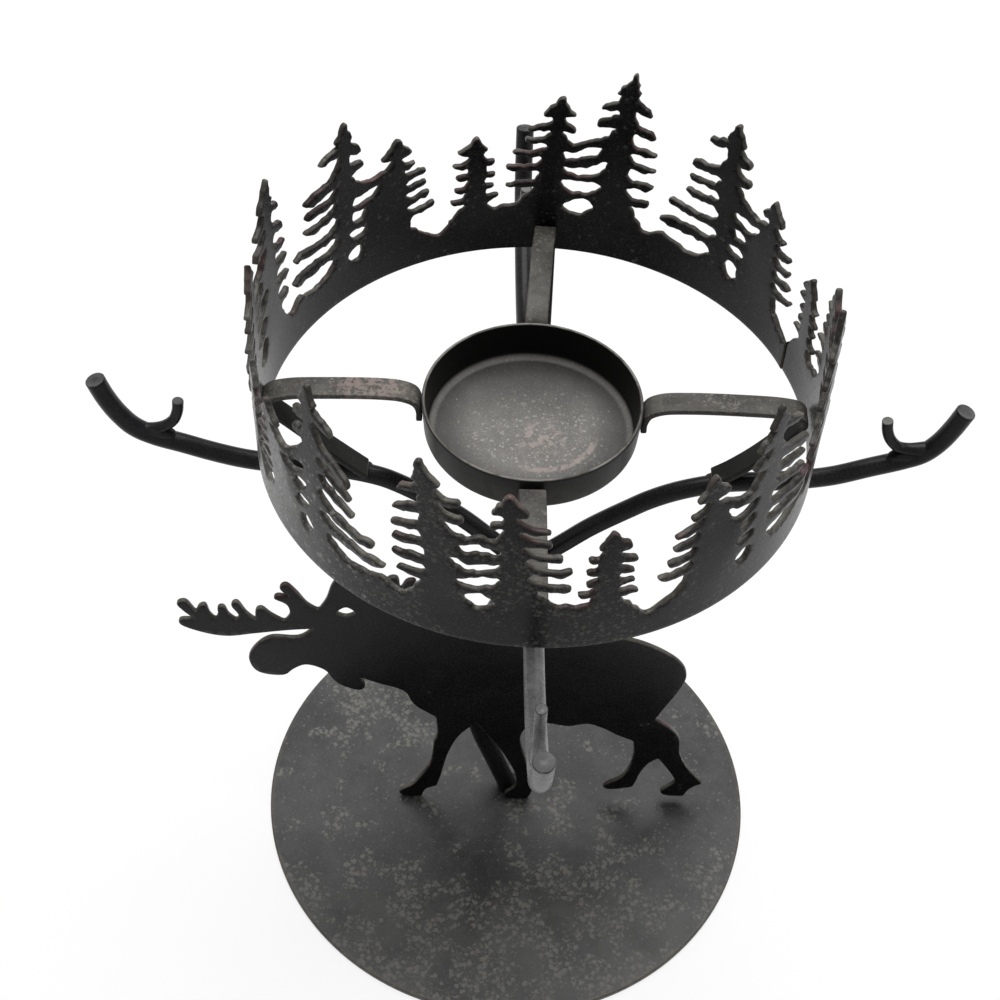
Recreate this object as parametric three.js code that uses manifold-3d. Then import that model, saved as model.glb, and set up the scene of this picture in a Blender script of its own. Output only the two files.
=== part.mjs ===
// A rustic steel tealight holder: a pierced ring of pine trees and a candle cup, carried on four rod branches that
// grow from a leaning trunk behind a flat moose. Millimetres, Z up, the base rests on Z = 0, the moose looks to -X.
import * as THREE from 'three';
import { mergeVertices } from 'three/addons/utils/BufferGeometryUtils.js';
import Module from 'manifold-3d';

const wasm = await Module();
wasm.setup();

// Driving sizes.
const SHEET = 1.2; // plate of the moose, the tree ring and the straps
const SEAT = 0.15; // air left at a welded seat
const BASE = { radius: 58.3, thickness: 1.5, bevel: 0.25 };
const ROD_RADIUS = 1.75;
const TRUNK_RADIUS = 2.25;
const TWIG_RADIUS = 1.1;
const RING = { radius: 53, bottom: 133, repeats: 4, firstValley: 20.7, strips: 10 };
const CUP = { rimRadius: 20.75, flare: 0.4, rimZ: 140.3, height: 7, wall: 0.7, corner: 2 };
const STRAP_WIDTH = 5;
const MOOSE = { planeY: -1.6, turn: 1.5 };
const ARM_ANGLES = { right: 0, back: 90, left: 180, front: 270 };

// Centre lines of the bent pieces of one arm, as [distance from the ring's axis, height].
const ARM_LINE = [
  [3.7, 95], [7.5, 99.2], [13, 105], [22.5, 112.7], [30, 116.9], [38, 118.9], [54, 120.3],
  [63, 123.4], [70.5, 126.7], [75.5, 130.4], [79, 135.2], [81.4, 141.4],
];
const TWIG_LINE = [[74.5, 133.8], [73.1, 131.9], [71.1, 130.6], [69.1, 131.4], [67.7, 133.9], [67.1, 137.6]];
// The strap in three runs: from the cup's wall as [away from it, up from the rim], at the ring's wall as [in from it,
// up from the ring's lower edge], and at last along its arm.
const STRAP_AT_CUP = [[0, -9.1], [0, -6.3], [0, -3.6], [0.8, -1.5], [3.1, -0.2], [7.5, 0.4], [17.5, 0.6]];
const STRAP_AT_RING = [
  [4.49, 7.4], [1.39, 6.4], [0, 4.2], [0.1, 1.6], [1.59, -2], [4.19, -5.3], [7.99, -8.4],
];
const STRAP_ON_ARM = [[39.5, 122.5], [36.5, 121.2], [33.4, 120.5]];
const BEND_ROOM = 0.06; // more air where the flat strap meets the round wall of the ring
const strapCupR = CUP.rimRadius + SEAT + SHEET / 2;
const strapRingR = RING.radius - SHEET - SEAT - SHEET / 2 - BEND_ROOM;
const STRAP_LINE = [
  ...STRAP_AT_CUP.map(([away, up]) => [strapCupR + away, CUP.rimZ + up]),
  ...STRAP_AT_RING.map(([inward, up]) => [strapRingR - inward, RING.bottom + up]),
  ...STRAP_ON_ARM,
];
// Weld beads: the middle, the half sizes and the tilt of each flattened ball.
const STRAP_WELD = { at: [32.6, 0, 119.6], size: [1.9, 2.3, 1.5], tilt: -0.25 };
const TWIG_WELD = { at: [70.2, 0, 128.9], size: [1.5, 1.3, 0.9], tilt: -0.45 };
const HUB_WELD = { at: [0, 0, 95.2], size: [4.7, 4.7, 3.7], tilt: 0 };
// The fillet of weld round the foot of the trunk, as [radius, height] up its slope.
const FOOT_WELD = [[0, 0], [4, 0], [3.1, 0.9], [2.6, 1.9], [0, 1.9]];
// Centre line of the trunk: it leans left behind the moose and swings back under the hub.
const TRUNK_LINE = [
  [0.4, 1.6, 0], [-3.6, 1.6, 13], [-7.9, 1.6, 27.5], [-10.2, 1.6, 42], [-9.6, 1.7, 56],
  [-6.4, 1.7, 70], [-2.4, 1, 82], [-0.2, 0.1, 90], [0, 0, 94.4],
];

const charcoal = { color: 0x2c2a28, roughness: 0.58, metalness: 0.55 };
const wornPlate = { color: 0x3b3835, roughness: 0.62, metalness: 0.5 };
const weldSteel = { color: 0x232120, roughness: 0.7, metalness: 0.5 };

/** Turns a closed geometry into a solid for booleans. */
function solid(geometry) {
  const bare = geometry.clone();
  bare.deleteAttribute('normal');
  bare.deleteAttribute('uv');
  const merged = mergeVertices(bare, 1e-4);
  return new wasm.Manifold(new wasm.Mesh({
    numProp: 3,
    vertProperties: Float32Array.from(merged.attributes.position.array),
    triVerts: Uint32Array.from(merged.index.array),
  }));
}

/** Turns a solid back into a geometry with flat normals. */
function geometryOf(body) {
  const mesh = body.getMesh();
  const geometry = new THREE.BufferGeometry();
  geometry.setAttribute('position', new THREE.BufferAttribute(mesh.vertProperties, 3));
  geometry.setIndex(new THREE.BufferAttribute(mesh.triVerts, 1));
  geometry.computeVertexNormals();
  return geometry;
}

/** A smooth curve through [r, z] points, laid in the vertical plane of the first arm. */
function planeCurve(points) {
  return new THREE.CatmullRomCurve3(points.map(([r, z]) => new THREE.Vector3(r, 0, z)), false, 'centripetal');
}

/** A round bar swept along a curve. */
function bar(curve, radius, steps, sides) {
  const section = new THREE.Shape();
  for (let i = 0; i < sides; i += 1) {
    const angle = (2 * Math.PI * i) / sides;
    const method = i === 0 ? 'moveTo' : 'lineTo';
    section[method](radius * Math.cos(angle), radius * Math.sin(angle));
  }
  section.closePath();
  return new THREE.ExtrudeGeometry(section, { extrudePath: curve, steps, bevelEnabled: false });
}

/** Points of an outline made of runs: each run is a smooth curve through its points and ends at a corner. */
function tracedOutline(runs, perSpan) {
  const outline = [];
  for (const run of runs) {
    if (run.length < 3) {
      outline.push(...run.slice(0, -1).map(([x, y]) => new THREE.Vector2(x, y)));
      continue;
    }
    const curve = new THREE.CatmullRomCurve3(
      run.map(([x, y]) => new THREE.Vector3(x, y, 0)), false, 'centripetal');
    const samples = curve.getPoints((run.length - 1) * perSpan).slice(0, -1);
    outline.push(...samples.map((p) => new THREE.Vector2(p.x, p.y)));
  }
  return outline;
}

/** A thin round disc with lightly broken edges. */
function basePlate() {
  const { radius, thickness, bevel } = BASE;
  return new THREE.LatheGeometry([
    new THREE.Vector2(0, 0),
    new THREE.Vector2(radius - bevel, 0),
    new THREE.Vector2(radius, bevel),
    new THREE.Vector2(radius, thickness - bevel),
    new THREE.Vector2(radius - bevel, thickness),
    new THREE.Vector2(0, thickness),
  ], 72).rotateX(Math.PI / 2);
}

/** A shallow pressed dish: a flat floor, a round corner and a slightly flared wall with a rounded lip. */
function candleCup() {
  const { rimRadius, flare, rimZ, height, wall, corner } = CUP;
  const footRadius = rimRadius - flare;
  const floorZ = rimZ - height;
  const profile = [new THREE.Vector2(0, floorZ)];
  const arc = (cx, cz, r, from, to, count) => {
    for (let i = 0; i <= count; i += 1) {
      const angle = from + ((to - from) * i) / count;
      profile.push(new THREE.Vector2(cx + r * Math.cos(angle), cz + r * Math.sin(angle)));
    }
  };
  arc(footRadius - corner, floorZ + corner, corner, -Math.PI / 2, 0, 3);
  arc(rimRadius - wall / 2, rimZ - wall / 2, wall / 2, 0, Math.PI, 3);
  arc(footRadius - corner, floorZ + corner, corner - wall, 0, -Math.PI / 2, 3);
  profile.push(new THREE.Vector2(0, floorZ + wall));
  return new THREE.LatheGeometry(profile, 48).rotateX(Math.PI / 2);
}

/** One flat strap bent along its line, as wide as given. */
function strapGeometry(width, thickness, line) {
  const curve = planeCurve(line);
  const count = 32;
  const outer = [];
  const inner = [];
  for (let i = 0; i <= count; i += 1) {
    const at = curve.getPointAt(i / count);
    const along = curve.getTangentAt(i / count);
    const side = new THREE.Vector2(-along.z, along.x).multiplyScalar(thickness / 2);
    outer.push(new THREE.Vector2(at.x + side.x, at.z + side.y));
    inner.push(new THREE.Vector2(at.x - side.x, at.z - side.y));
  }
  const shape = new THREE.Shape([...outer, ...inner.reverse()]);
  const geometry = new THREE.ExtrudeGeometry(shape, { depth: width, bevelEnabled: false });
  return geometry.translate(0, 0, -width / 2).rotateX(Math.PI / 2);
}

// The moose, as [along, up] runs between its sharp corners, going round from the slot behind the muzzle.
const MOOSE_OUTLINE = [
  [[-45, 68.9], [-50.7, 68.2], [-58, 66.8], [-64, 65.7], [-69, 66.8], [-73.9, 69.7], [-73.9, 71.2], [-70.4, 71.6]],
  [[-70.4, 71.6], [-72.6, 74.3], [-73.9, 77], [-72, 77.9], [-70, 74.1]],
  [[-70, 74.1], [-69.2, 76.2], [-67.8, 76.8], [-67, 73.4], [-66, 71.6]],
  [[-66, 71.6], [-65.3, 73.6], [-65.2, 75.9], [-63.9, 76.2], [-62.9, 73.2], [-61.5, 71.4]],
  [[-61.5, 71.4], [-60.9, 73.2], [-62.3, 76.9], [-61, 78], [-59, 73.8], [-57.4, 71.7]],
  [[-57.4, 71.7], [-57, 75.4], [-55.9, 76], [-53.9, 73.6], [-51.2, 71.2]],
  [[-51.2, 71.2], [-49.9, 73.9], [-50.4, 77.3], [-53.1, 79.4], [-52.2, 80.4], [-49.6, 79.8]],
  [[-49.6, 79.8], [-51.6, 83], [-50.2, 84.3], [-47.9, 81.4], [-45.9, 77.5], [-43.7, 75.4]],
  [[-43.7, 75.4], [-41.9, 79.2], [-40.4, 84.4], [-38.8, 86.8], [-37.2, 85.9], [-36.4, 82.6]],
  [[-36.4, 82.6], [-34, 84.2], [-32.5, 87.6], [-30.7, 87.4], [-30.3, 83.3]],
  [[-30.3, 83.3], [-28.4, 87], [-26.6, 87.2], [-26, 83.4]],
  [[-26, 83.4], [-24.6, 86.2], [-22.8, 86.4], [-22.6, 83]],
  [[-22.6, 83], [-18.4, 84.6], [-17.2, 83], [-22.3, 78.4], [-28.6, 76.2]],
  [[-28.6, 76.2], [-20, 73.6], [-9, 74.2], [0, 72.6], [12, 69.6], [25.5, 66.5], [33, 62], [36.9, 57.8],
    [38.2, 54], [37.6, 49.4], [34.9, 42], [32.9, 36.4]],
  [[32.9, 36.4], [37.6, 31.8], [39.5, 28.2], [40.2, 22.4], [42.6, 15.4], [46.6, 8]],
  [[46.6, 8], [43.6, 5.4], [42.8, 1.5]],
  [[42.8, 1.5], [38.2, 1.5]],
  [[38.2, 1.5], [37.6, 3.6], [40.4, 9.2], [37.2, 15.6], [35.2, 19.8]],
  [[35.2, 19.8], [33.1, 16.4], [31.5, 10.6], [29.9, 5.6]],
  [[29.9, 5.6], [24.5, 4.4], [23.4, 5.6], [26.5, 9.8], [28.8, 15.2], [29.1, 21.6], [28.6, 27.1]],
  [[28.6, 27.1], [24.9, 29.3], [20.9, 32.3], [17.3, 34], [12.9, 32.9], [9.1, 33.7], [4.4, 34.8]],
  [[4.4, 34.8], [1.9, 28.6], [3.4, 18.5], [4.6, 11.6], [5.6, 4.6], [4.6, 1.5]],
  [[4.6, 1.5], [-0.6, 1.5]],
  [[-0.6, 1.5], [-1.1, 3.4], [1.3, 6.4], [1.4, 10.6], [-1.3, 19], [-4.6, 26.2], [-8.8, 33.6]],
  [[-8.8, 33.6], [-12.6, 28.2], [-15.2, 20.3], [-17.2, 9.4], [-17.9, 5.4]],
  [[-17.9, 5.4], [-20.4, 4.6], [-21.6, 1.5]],
  [[-21.6, 1.5], [-26, 1.5]],
  [[-26, 1.5], [-26.6, 3.9], [-23.4, 6.8], [-20, 14], [-18.9, 21], [-18.6, 25.6], [-17.9, 28.4], [-18.2, 35.7]],
  [[-18.2, 35.7], [-23.2, 40.6], [-25.6, 46], [-31.6, 49], [-35.4, 51.1]],
  [[-35.4, 51.1], [-34.3, 47.6], [-35.2, 46.1], [-39.3, 47.6], [-41.6, 50.2], [-43.2, 53.6], [-47.3, 55.6],
    [-50, 54], [-52.4, 51.5], [-58.2, 52.6], [-59.9, 57.6], [-58.1, 62.2], [-54.6, 65.5], [-48.5, 65.6],
    [-45, 68.9]],
];
const MOOSE_EYELET = [[-39.7, 74.7], [-37.8, 73.5], [-35.9, 74.9], [-37.7, 76.7], [-39.7, 74.7]];

/** The flat moose, cut from plate and centred on its own mid plane. */
function moosePlate() {
  const shape = new THREE.Shape(tracedOutline(MOOSE_OUTLINE, 2));
  shape.holes.push(new THREE.Path(tracedOutline([MOOSE_EYELET], 2)));
  const geometry = new THREE.ExtrudeGeometry(shape, { depth: SHEET, bevelEnabled: false });
  return geometry.translate(0, 0, -SHEET / 2).rotateX(Math.PI / 2);
}

// One quarter of the tree line. Every tree has its own axis, in degrees from the valley that starts the quarter.
// A flank is [height, half width] from the top down, a branch is [reach from the axis, height of its tip]. The ground
// before and after a tree, and the openings beside it, are [along from its axis, height].
const FINGER = { tip: 1.25, root: 1.9, rise: 0.13 };
const HEAD = { tipHalf: 0.7, tipDrop: 1, neckDrop: 0.9 };
const VALLEY = 5.7;
const TREES = {
  firstMedium: {
    at: 10.5, head: [[-3.2, 29.9], [0, 34.2], [3.3, 29.9]], neck: 1.05,
    before: [[-6.8, 7.5], [-4.1, 9.6]],
    after: [[1.9, 27.4], [3.7, 27.2], [5.4, 26.5], [8.2, 27.6]],
    openings: [
      [[3.8, 24.9], [6.5, 24], [10.2, 24.4], [10.3, 23], [7.5, 21.8], [4.9, 22.7]],
      [[6.9, 19.6], [8.3, 20.9], [10.4, 20.7], [10.3, 18.9], [8.2, 18.1]],
      [[6.9, 15.2], [8.3, 16.6], [11, 16.5], [10.4, 14.8], [8.1, 14]],
      [[7.9, 10.4], [8.6, 12], [10.6, 12.2], [11.5, 10.6], [10.2, 8.3], [8.7, 8.5]],
    ],
    left: {
      flank: [[28, 1], [25, 2.1], [16, 2.6], [11.4, 3.5]],
      branches: [[4, 26.4], [6.5, 23.8], [6.7, 20.6], [7.4, 17.7], [8.8, 14.4]],
    },
  },
  firstTall: {
    at: 24.2, head: [[-2.3, 39.8], [0, 43.8], [2.1, 40]], neck: 1.3,
    after: [[2.9, 12.5], [5, 10.1], [8.9, 9.4], [12.1, 10]],
    left: { flank: [[38, 1.5], [28, 1.9]], branches: [[4.5, 35.9], [5.3, 32]] },
    right: {
      flank: [[38, 1.5], [33, 2.1], [27, 2.5], [21, 1.7], [16, 1.8], [12.5, 2.8]],
      branches: [[6.2, 37.4], [9.8, 30.2], [9.7, 27.1], [10.2, 23.6], [13.6, 19.4], [14.8, 14.7]],
    },
  },
  secondTall: {
    at: 48.4, head: [[-1.2, 41.2], [0, 46], [3.5, 40.8]], neck: 2.6,
    before: [[-7.7, 10.9], [-4.2, 9.3], [-2.8, 10.7]],
    after: [[5.5, 29.7], [7.2, 28.7], [9.4, 28.2], [11.8, 27.6]],
    openings: [
      [[5.7, 27.1], [7.6, 27.1], [10.8, 25.9], [13, 25.3], [12.4, 23.7], [9.6, 24.4], [6.6, 24.6]],
      [[4.2, 23.9], [6.2, 23.3], [8.3, 21.7], [12.9, 22], [12.6, 20.8], [7.8, 19.6], [5.2, 21.2]],
      [[5.3, 17.7], [8, 18.3], [13.3, 18.2], [12.1, 16.2], [9.8, 15.3], [6.8, 15.7]],
      [[6.5, 12.9], [7.7, 13.9], [10.3, 13.6], [12.2, 11.6], [10, 9.8], [7.8, 10.7]],
    ],
    left: {
      flank: [[39, 0.7], [26, 0.3], [18, 0], [13, 1.6]],
      branches: [[3.9, 37.9], [5, 32.4], [5.5, 28.6], [5.5, 25], [5.7, 20.8], [5.1, 16.4]],
    },
    right: { flank: [[38, 2.8], [30, 3.2]], branches: [[6.5, 36.6], [7.1, 32.6]] },
  },
  secondMedium: {
    at: 64, head: [[-3.1, 34.9], [-0.3, 39], [3.2, 34.9]], neck: 1.3,
    after: [[6.3, 13.4], [8.1, 11.7]],
    left: { flank: [[33, 0.8], [29, 0.7]], branches: [[3.3, 31]] },
    right: {
      flank: [[33, 1.6], [27, 2.2], [23.5, 3.6], [19.5, 3.4], [15.5, 4.3], [12, 7]],
      branches: [[6.4, 30.8], [6.8, 27.8], [8.6, 24.6], [10, 20.9], [10, 16.6]],
    },
  },
  small: {
    at: 81.6, head: [[-2.2, 25.5], [0, 29], [3.4, 25.2]], neck: 1.6,
    before: [[-6.2, 12.1], [-3.7, 10.7]],
    after: [[2.4, 11.2], [4.3, 9.6], [6.3, 6.9]],
    left: { flank: [[24, 2], [12, 2.4]], branches: [[4, 22.7], [4, 19.3], [3.8, 16.7], [4.8, 14]] },
    right: { flank: [[24, 1.4], [12, 2.2]], branches: [[4.6, 21.9], [4.2, 19], [4.4, 16.2], [5.4, 13.2]] },
  },
};
const quarterLength = (RING.radius * Math.PI) / 2;
const axisOf = (tree) => (tree.at * quarterLength) / 90;

/** Half width of a trunk at a height, read between the rows of its flank. */
function flankAt(flank, height) {
  for (let i = 1; i < flank.length; i += 1) {
    const [[top, wide], [low, narrow]] = [flank[i - 1], flank[i]];
    if (height >= low || i === flank.length - 1) {
      const part = THREE.MathUtils.clamp((top - height) / (top - low), 0, 1);
      return THREE.MathUtils.lerp(wide, narrow, part);
    }
  }
  return flank[0][1];
}

/** The fingers down one side of a tree, from the top: sign is 1 for its right side and -1 for its left. */
function branchSide(tree, side, sign) {
  const { flank, branches } = tree[side] ?? { branches: [] };
  const points = [];
  for (const [reach, tipZ] of branches) {
    const rootZ = tipZ + FINGER.rise * (reach - flankAt(flank, tipZ));
    const high = rootZ + FINGER.root / 2;
    const low = rootZ - FINGER.root / 2;
    points.push(
      [flankAt(flank, high), high],
      [reach - FINGER.tip / 2, tipZ + FINGER.tip / 2],
      [reach, tipZ],
      [reach - FINGER.tip / 2, tipZ - FINGER.tip / 2],
      [flankAt(flank, low), low],
    );
  }
  return points.map(([x, z]) => [axisOf(tree) + sign * x, z]);
}

/** The pointed head of a tree, from its left neck over the tip to its right neck. */
function treeHead(tree) {
  const [left, tip, right] = tree.head;
  const { tipHalf, tipDrop, neckDrop } = HEAD;
  const rounded = [[tip[0] - tipHalf, tip[1] - tipDrop], tip, [tip[0] + tipHalf, tip[1] - tipDrop]];
  const necks = [[-tree.neck, left[1] - neckDrop], [tree.neck, right[1] - neckDrop]];
  return [necks[0], left, ...rounded, right, necks[1]].map(([x, z]) => [axisOf(tree) + x, z]);
}

/** Moves points measured from a tree's axis into the quarter. */
const from = (tree, points = []) => points.map(([x, z]) => [axisOf(tree) + x, z]);

/** One tree of the skyline, with the ground on both sides of it, from left to right. */
function treeSkyline(tree) {
  return [
    ...from(tree, tree.before),
    ...branchSide(tree, 'left', -1).reverse(),
    ...treeHead(tree),
    ...branchSide(tree, 'right', 1),
    ...from(tree, tree.after),
  ];
}

/** The quarter's plate, flat: X runs along the ring, Y is the height above its lower edge. */
function quarterShape() {
  const trees = Object.values(TREES);
  const skyline = [[0, VALLEY], ...trees.flatMap(treeSkyline), [quarterLength, VALLEY]];
  const outline = [[0, 0], [quarterLength, 0], ...skyline.reverse()];
  const shape = new THREE.Shape(outline.map(([x, z]) => new THREE.Vector2(x, z)));
  for (const tree of trees) {
    for (const opening of tree.openings ?? []) {
      shape.holes.push(new THREE.Path(from(tree, opening).map(([x, z]) => new THREE.Vector2(x, z))));
    }
  }
  return shape;
}

/** The tree ring: the quarter is cut into narrow strips, each is bent onto the ring, and all are joined. */
function treeRing() {
  const flat = solid(new THREE.ExtrudeGeometry(quarterShape(), { depth: SHEET, bevelEnabled: false }));
  const width = quarterLength / RING.strips;
  const tallest = flat.boundingBox().max[1];
  const tidy = (value) => Math.round(value * 1e4) / 1e4;
  let ring = null;
  for (let strip = 0; strip < RING.strips; strip += 1) {
    const slab = new THREE.BoxGeometry(width, 4 * tallest, 4 * SHEET).translate((strip + 0.5) * width, 0, 0);
    const mesh = flat.intersect(solid(slab)).getMesh();
    for (let quarter = 0; quarter < RING.repeats; quarter += 1) {
      const start = THREE.MathUtils.degToRad(RING.firstValley + 90 * quarter);
      const bent = new Float32Array(mesh.vertProperties.length);
      for (let i = 0; i < bent.length; i += 3) {
        const [x, up, out] = mesh.vertProperties.subarray(i, i + 3);
        const angle = start + ((Math.PI / 2) * tidy(x)) / tidy(quarterLength);
        const radius = RING.radius - SHEET + tidy(out);
        bent.set([radius * Math.cos(angle), radius * Math.sin(angle), RING.bottom + tidy(up)], i);
      }
      const part = new wasm.Manifold(new wasm.Mesh({
        numProp: 3, vertProperties: bent, triVerts: Uint32Array.from(mesh.triVerts),
      }));
      ring = ring ? ring.add(part) : part;
    }
  }
  return geometryOf(ring);
}

/** A weld bead: a flattened ball with its neighbours cut out of it. */
function bead({ at, size, tilt }, neighbours) {
  const ball = new THREE.SphereGeometry(1, 12, 8).scale(...size).rotateY(tilt).translate(...at);
  let body = solid(ball);
  for (const neighbour of neighbours) {
    body = body.subtract(neighbour);
  }
  return geometryOf(body);
}

// The bent bars and the steps along and sides round of their meshes.
const armCurve = planeCurve(ARM_LINE);
const twigCurve = planeCurve(TWIG_LINE);
const trunkCurve = new THREE.CatmullRomCurve3(
  TRUNK_LINE.map(([x, y, z]) => new THREE.Vector3(x, y, z)), false, 'centripetal');
const ARM_MESH = [26, 12];
const TWIG_MESH = [11, 10];
const TRUNK_MESH = [22, 14];
const grownArm = solid(bar(armCurve, ROD_RADIUS + SEAT, ...ARM_MESH));
const grownTwig = solid(bar(twigCurve, TWIG_RADIUS + SEAT, ...TWIG_MESH));
const grownTrunk = solid(bar(trunkCurve, TRUNK_RADIUS + SEAT, ...TRUNK_MESH));
const grownStrap = solid(strapGeometry(STRAP_WIDTH + 2 * SEAT, SHEET + 2 * SEAT, STRAP_LINE));

/** A piece that lies on its arm, relieved where the arm's round side would enter it. */
function seatedOnArm(geometry) {
  return geometryOf(solid(geometry).subtract(grownArm));
}

/** The trunk, its foot cut level with the top of the base. */
function trunkPost() {
  const below = new THREE.BoxGeometry(BASE.radius, BASE.radius, BASE.radius)
    .translate(0, 0, BASE.thickness - BASE.radius / 2);
  return geometryOf(solid(bar(trunkCurve, TRUNK_RADIUS, ...TRUNK_MESH)).subtract(solid(below)));
}

/** The bead at the end of a strap where it lies on its arm. */
function strapWeld() {
  return bead(STRAP_WELD, [grownArm, grownStrap]);
}

/** The bead in the crook between a twig and its arm. */
function twigWeld() {
  return bead(TWIG_WELD, [grownArm, grownTwig]);
}

/** The ball of weld that joins the four arms to the top of the trunk. */
function hubWeld() {
  const arms = Object.values(ARM_ANGLES).map((degrees) => grownArm.rotate([0, 0, degrees]));
  return bead(HUB_WELD, [grownTrunk, ...arms]);
}

/** The fillet of weld around the foot of the trunk, flat where it meets the moose. */
function trunkFootWeld() {
  const [footX, footY] = TRUNK_LINE[0];
  const slope = FOOT_WELD.map(([radius, height]) => new THREE.Vector2(radius, height));
  const fillet = new THREE.LatheGeometry(slope, 24).rotateX(Math.PI / 2).translate(footX, footY, BASE.thickness);
  const depth = BASE.radius;
  const ahead = new THREE.BoxGeometry(depth, depth, depth)
    .translate(0, MOOSE.planeY + SHEET / 2 + 2 * SEAT - depth / 2, 0);
  return geometryOf(solid(fillet).subtract(grownTrunk).subtract(solid(ahead)));
}

/** Adds one named piece to a parent. */
function addPiece(parent, name, geometry, finish) {
  const mesh = new THREE.Mesh(geometry, new THREE.MeshStandardMaterial(finish));
  mesh.name = name;
  parent.add(mesh);
  return mesh;
}

const group = new THREE.Group();
group.name = 'moose_tealight_holder';
addPiece(group, 'base_plate', basePlate(), wornPlate);
const moose = addPiece(group, 'moose_plate', moosePlate(), charcoal);
moose.position.y = MOOSE.planeY;
moose.rotation.z = THREE.MathUtils.degToRad(MOOSE.turn);
addPiece(group, 'trunk_post', trunkPost(), charcoal);
addPiece(group, 'trunk_foot_weld', trunkFootWeld(), weldSteel);
addPiece(group, 'hub_weld', hubWeld(), weldSteel);
addPiece(group, 'tree_ring', treeRing(), charcoal);
addPiece(group, 'candle_cup', candleCup(), wornPlate);
for (const [side, degrees] of Object.entries(ARM_ANGLES)) {
  const branch = new THREE.Group();
  branch.rotation.z = THREE.MathUtils.degToRad(degrees);
  group.add(branch);
  addPiece(branch, `arm_${side}`, bar(armCurve, ROD_RADIUS, ...ARM_MESH), charcoal);
  addPiece(branch, `twig_hook_${side}`, seatedOnArm(bar(twigCurve, TWIG_RADIUS, ...TWIG_MESH)), charcoal);
  addPiece(branch, `strap_${side}`, seatedOnArm(strapGeometry(STRAP_WIDTH, SHEET, STRAP_LINE)), wornPlate);
  addPiece(branch, `strap_weld_${side}`, strapWeld(), weldSteel);
  addPiece(branch, `twig_weld_${side}`, twigWeld(), weldSteel);
}

export default group;
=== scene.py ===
"""A rustic moose tealight holder of welded and coated steel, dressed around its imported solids.

A pierced ring of pine trees and a shallow cup stand on four rod branches, which grow from a leaning trunk
behind a flat moose on a round base. Z is up, the moose looks to -X, and sizes are millimetres until a mesh
is made.
"""

import logging
import math
from collections.abc import Callable, Sequence
from dataclasses import dataclass, field, replace
from enum import Enum

import bpy
import numpy as np
from mathutils import Matrix, Vector, noise
from mathutils.geometry import delaunay_2d_cdt


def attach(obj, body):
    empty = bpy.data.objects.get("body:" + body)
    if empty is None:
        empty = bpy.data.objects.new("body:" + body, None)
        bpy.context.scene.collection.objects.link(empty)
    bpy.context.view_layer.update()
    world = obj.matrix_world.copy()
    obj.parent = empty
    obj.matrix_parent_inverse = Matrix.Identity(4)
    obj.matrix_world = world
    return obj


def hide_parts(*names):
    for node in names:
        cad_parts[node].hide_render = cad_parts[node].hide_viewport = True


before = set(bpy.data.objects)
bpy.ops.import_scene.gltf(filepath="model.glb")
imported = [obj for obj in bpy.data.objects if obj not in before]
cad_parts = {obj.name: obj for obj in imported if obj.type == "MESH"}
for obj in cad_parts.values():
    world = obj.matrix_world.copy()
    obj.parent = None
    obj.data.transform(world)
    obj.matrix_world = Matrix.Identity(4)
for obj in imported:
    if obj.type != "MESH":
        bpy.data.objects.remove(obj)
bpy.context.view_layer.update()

MM = 0.001
FLARE_REACH = 6.0
WANDER_LANES = (1.0, 41.5)
MERGE_WITHIN = 1e-6
MITRE_LIMIT = 0.6
CLEAR_OF_RIM = 0.45
TEST_AT_ONCE = 400
SHARP_FROM = 50.0
LOG = logging.getLogger("moose_tealight_holder")

Colour = tuple[float, float, float]
Knots = Sequence[Sequence[float]]


class Slot(Enum):
    """The record's material slots."""

    CHARCOAL = "charcoal_coat"
    WORN = "worn_coat"
    WELD = "weld"


class Side(Enum):
    """The four branches, by the angle at which each leaves the hub, in degrees from +X."""

    RIGHT = 0.0
    BACK = 90.0
    LEFT = 180.0
    FRONT = 270.0

    @property
    def label(self) -> str:
        """The side's name as the nodes write it."""
        return self.name.lower()


# Curves, sections and shells


def smooth_line(knots: Knots, per_span: int, closed: bool = False) -> np.ndarray:
    """Runs a centripetal Catmull-Rom curve through points.

    Args:
        knots: The points that the curve passes, flat or in space.
        per_span: Points made from one knot to the next.
        closed: Whether the curve comes back to its first knot.

    Returns:
        The points of the curve, one row each.
    """
    through = np.asarray(knots, float)
    if closed:
        padded = np.vstack([through[-1:], through, through[:2]])
    else:
        padded = np.vstack([2 * through[0] - through[1], through, 2 * through[-1] - through[-2]])
    share = (np.arange(per_span) / per_span)[:, None]
    line = []
    for before, start, end, after in zip(padded, padded[1:], padded[2:], padded[3:]):
        pairs = (before, start), (start, end), (end, after)
        first, gap, last = (max(math.sqrt(np.linalg.norm(b - a)), 1e-4) for a, b in pairs)
        leave = (start - before) / first - (end - before) / (first + gap) + (end - start) / gap
        arrive = (end - start) / gap - (after - start) / (gap + last) + (after - end) / last
        leave, arrive = leave * gap, arrive * gap
        cubic = 2 * start - 2 * end + leave + arrive
        square = 3 * end - 3 * start - 2 * leave - arrive
        line.append(((cubic * share + square) * share + leave) * share + start)
    if not closed:
        line.append(through[-1:])
    return np.vstack(line)


def evenly(line: np.ndarray, step: float, closed: bool = False) -> np.ndarray:
    """Lays points at even steps along a line.

    Args:
        line: The line's points.
        step: The wanted distance between points.
        closed: Whether the line comes back to its first point.

    Returns:
        Evenly spaced points on the line; a closed line's first point isn't repeated.
    """
    track = np.vstack([line, line[:1]]) if closed else line
    run = np.concatenate([[0.0], np.cumsum(np.linalg.norm(np.diff(track, axis=0), axis=1))])
    count = max(3, round(run[-1] / step))
    places = np.linspace(0.0, run[-1], count + 1)
    if closed:
        places = places[:-1]
    return np.stack([np.interp(places, run, column) for column in track.T], axis=1)


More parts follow.
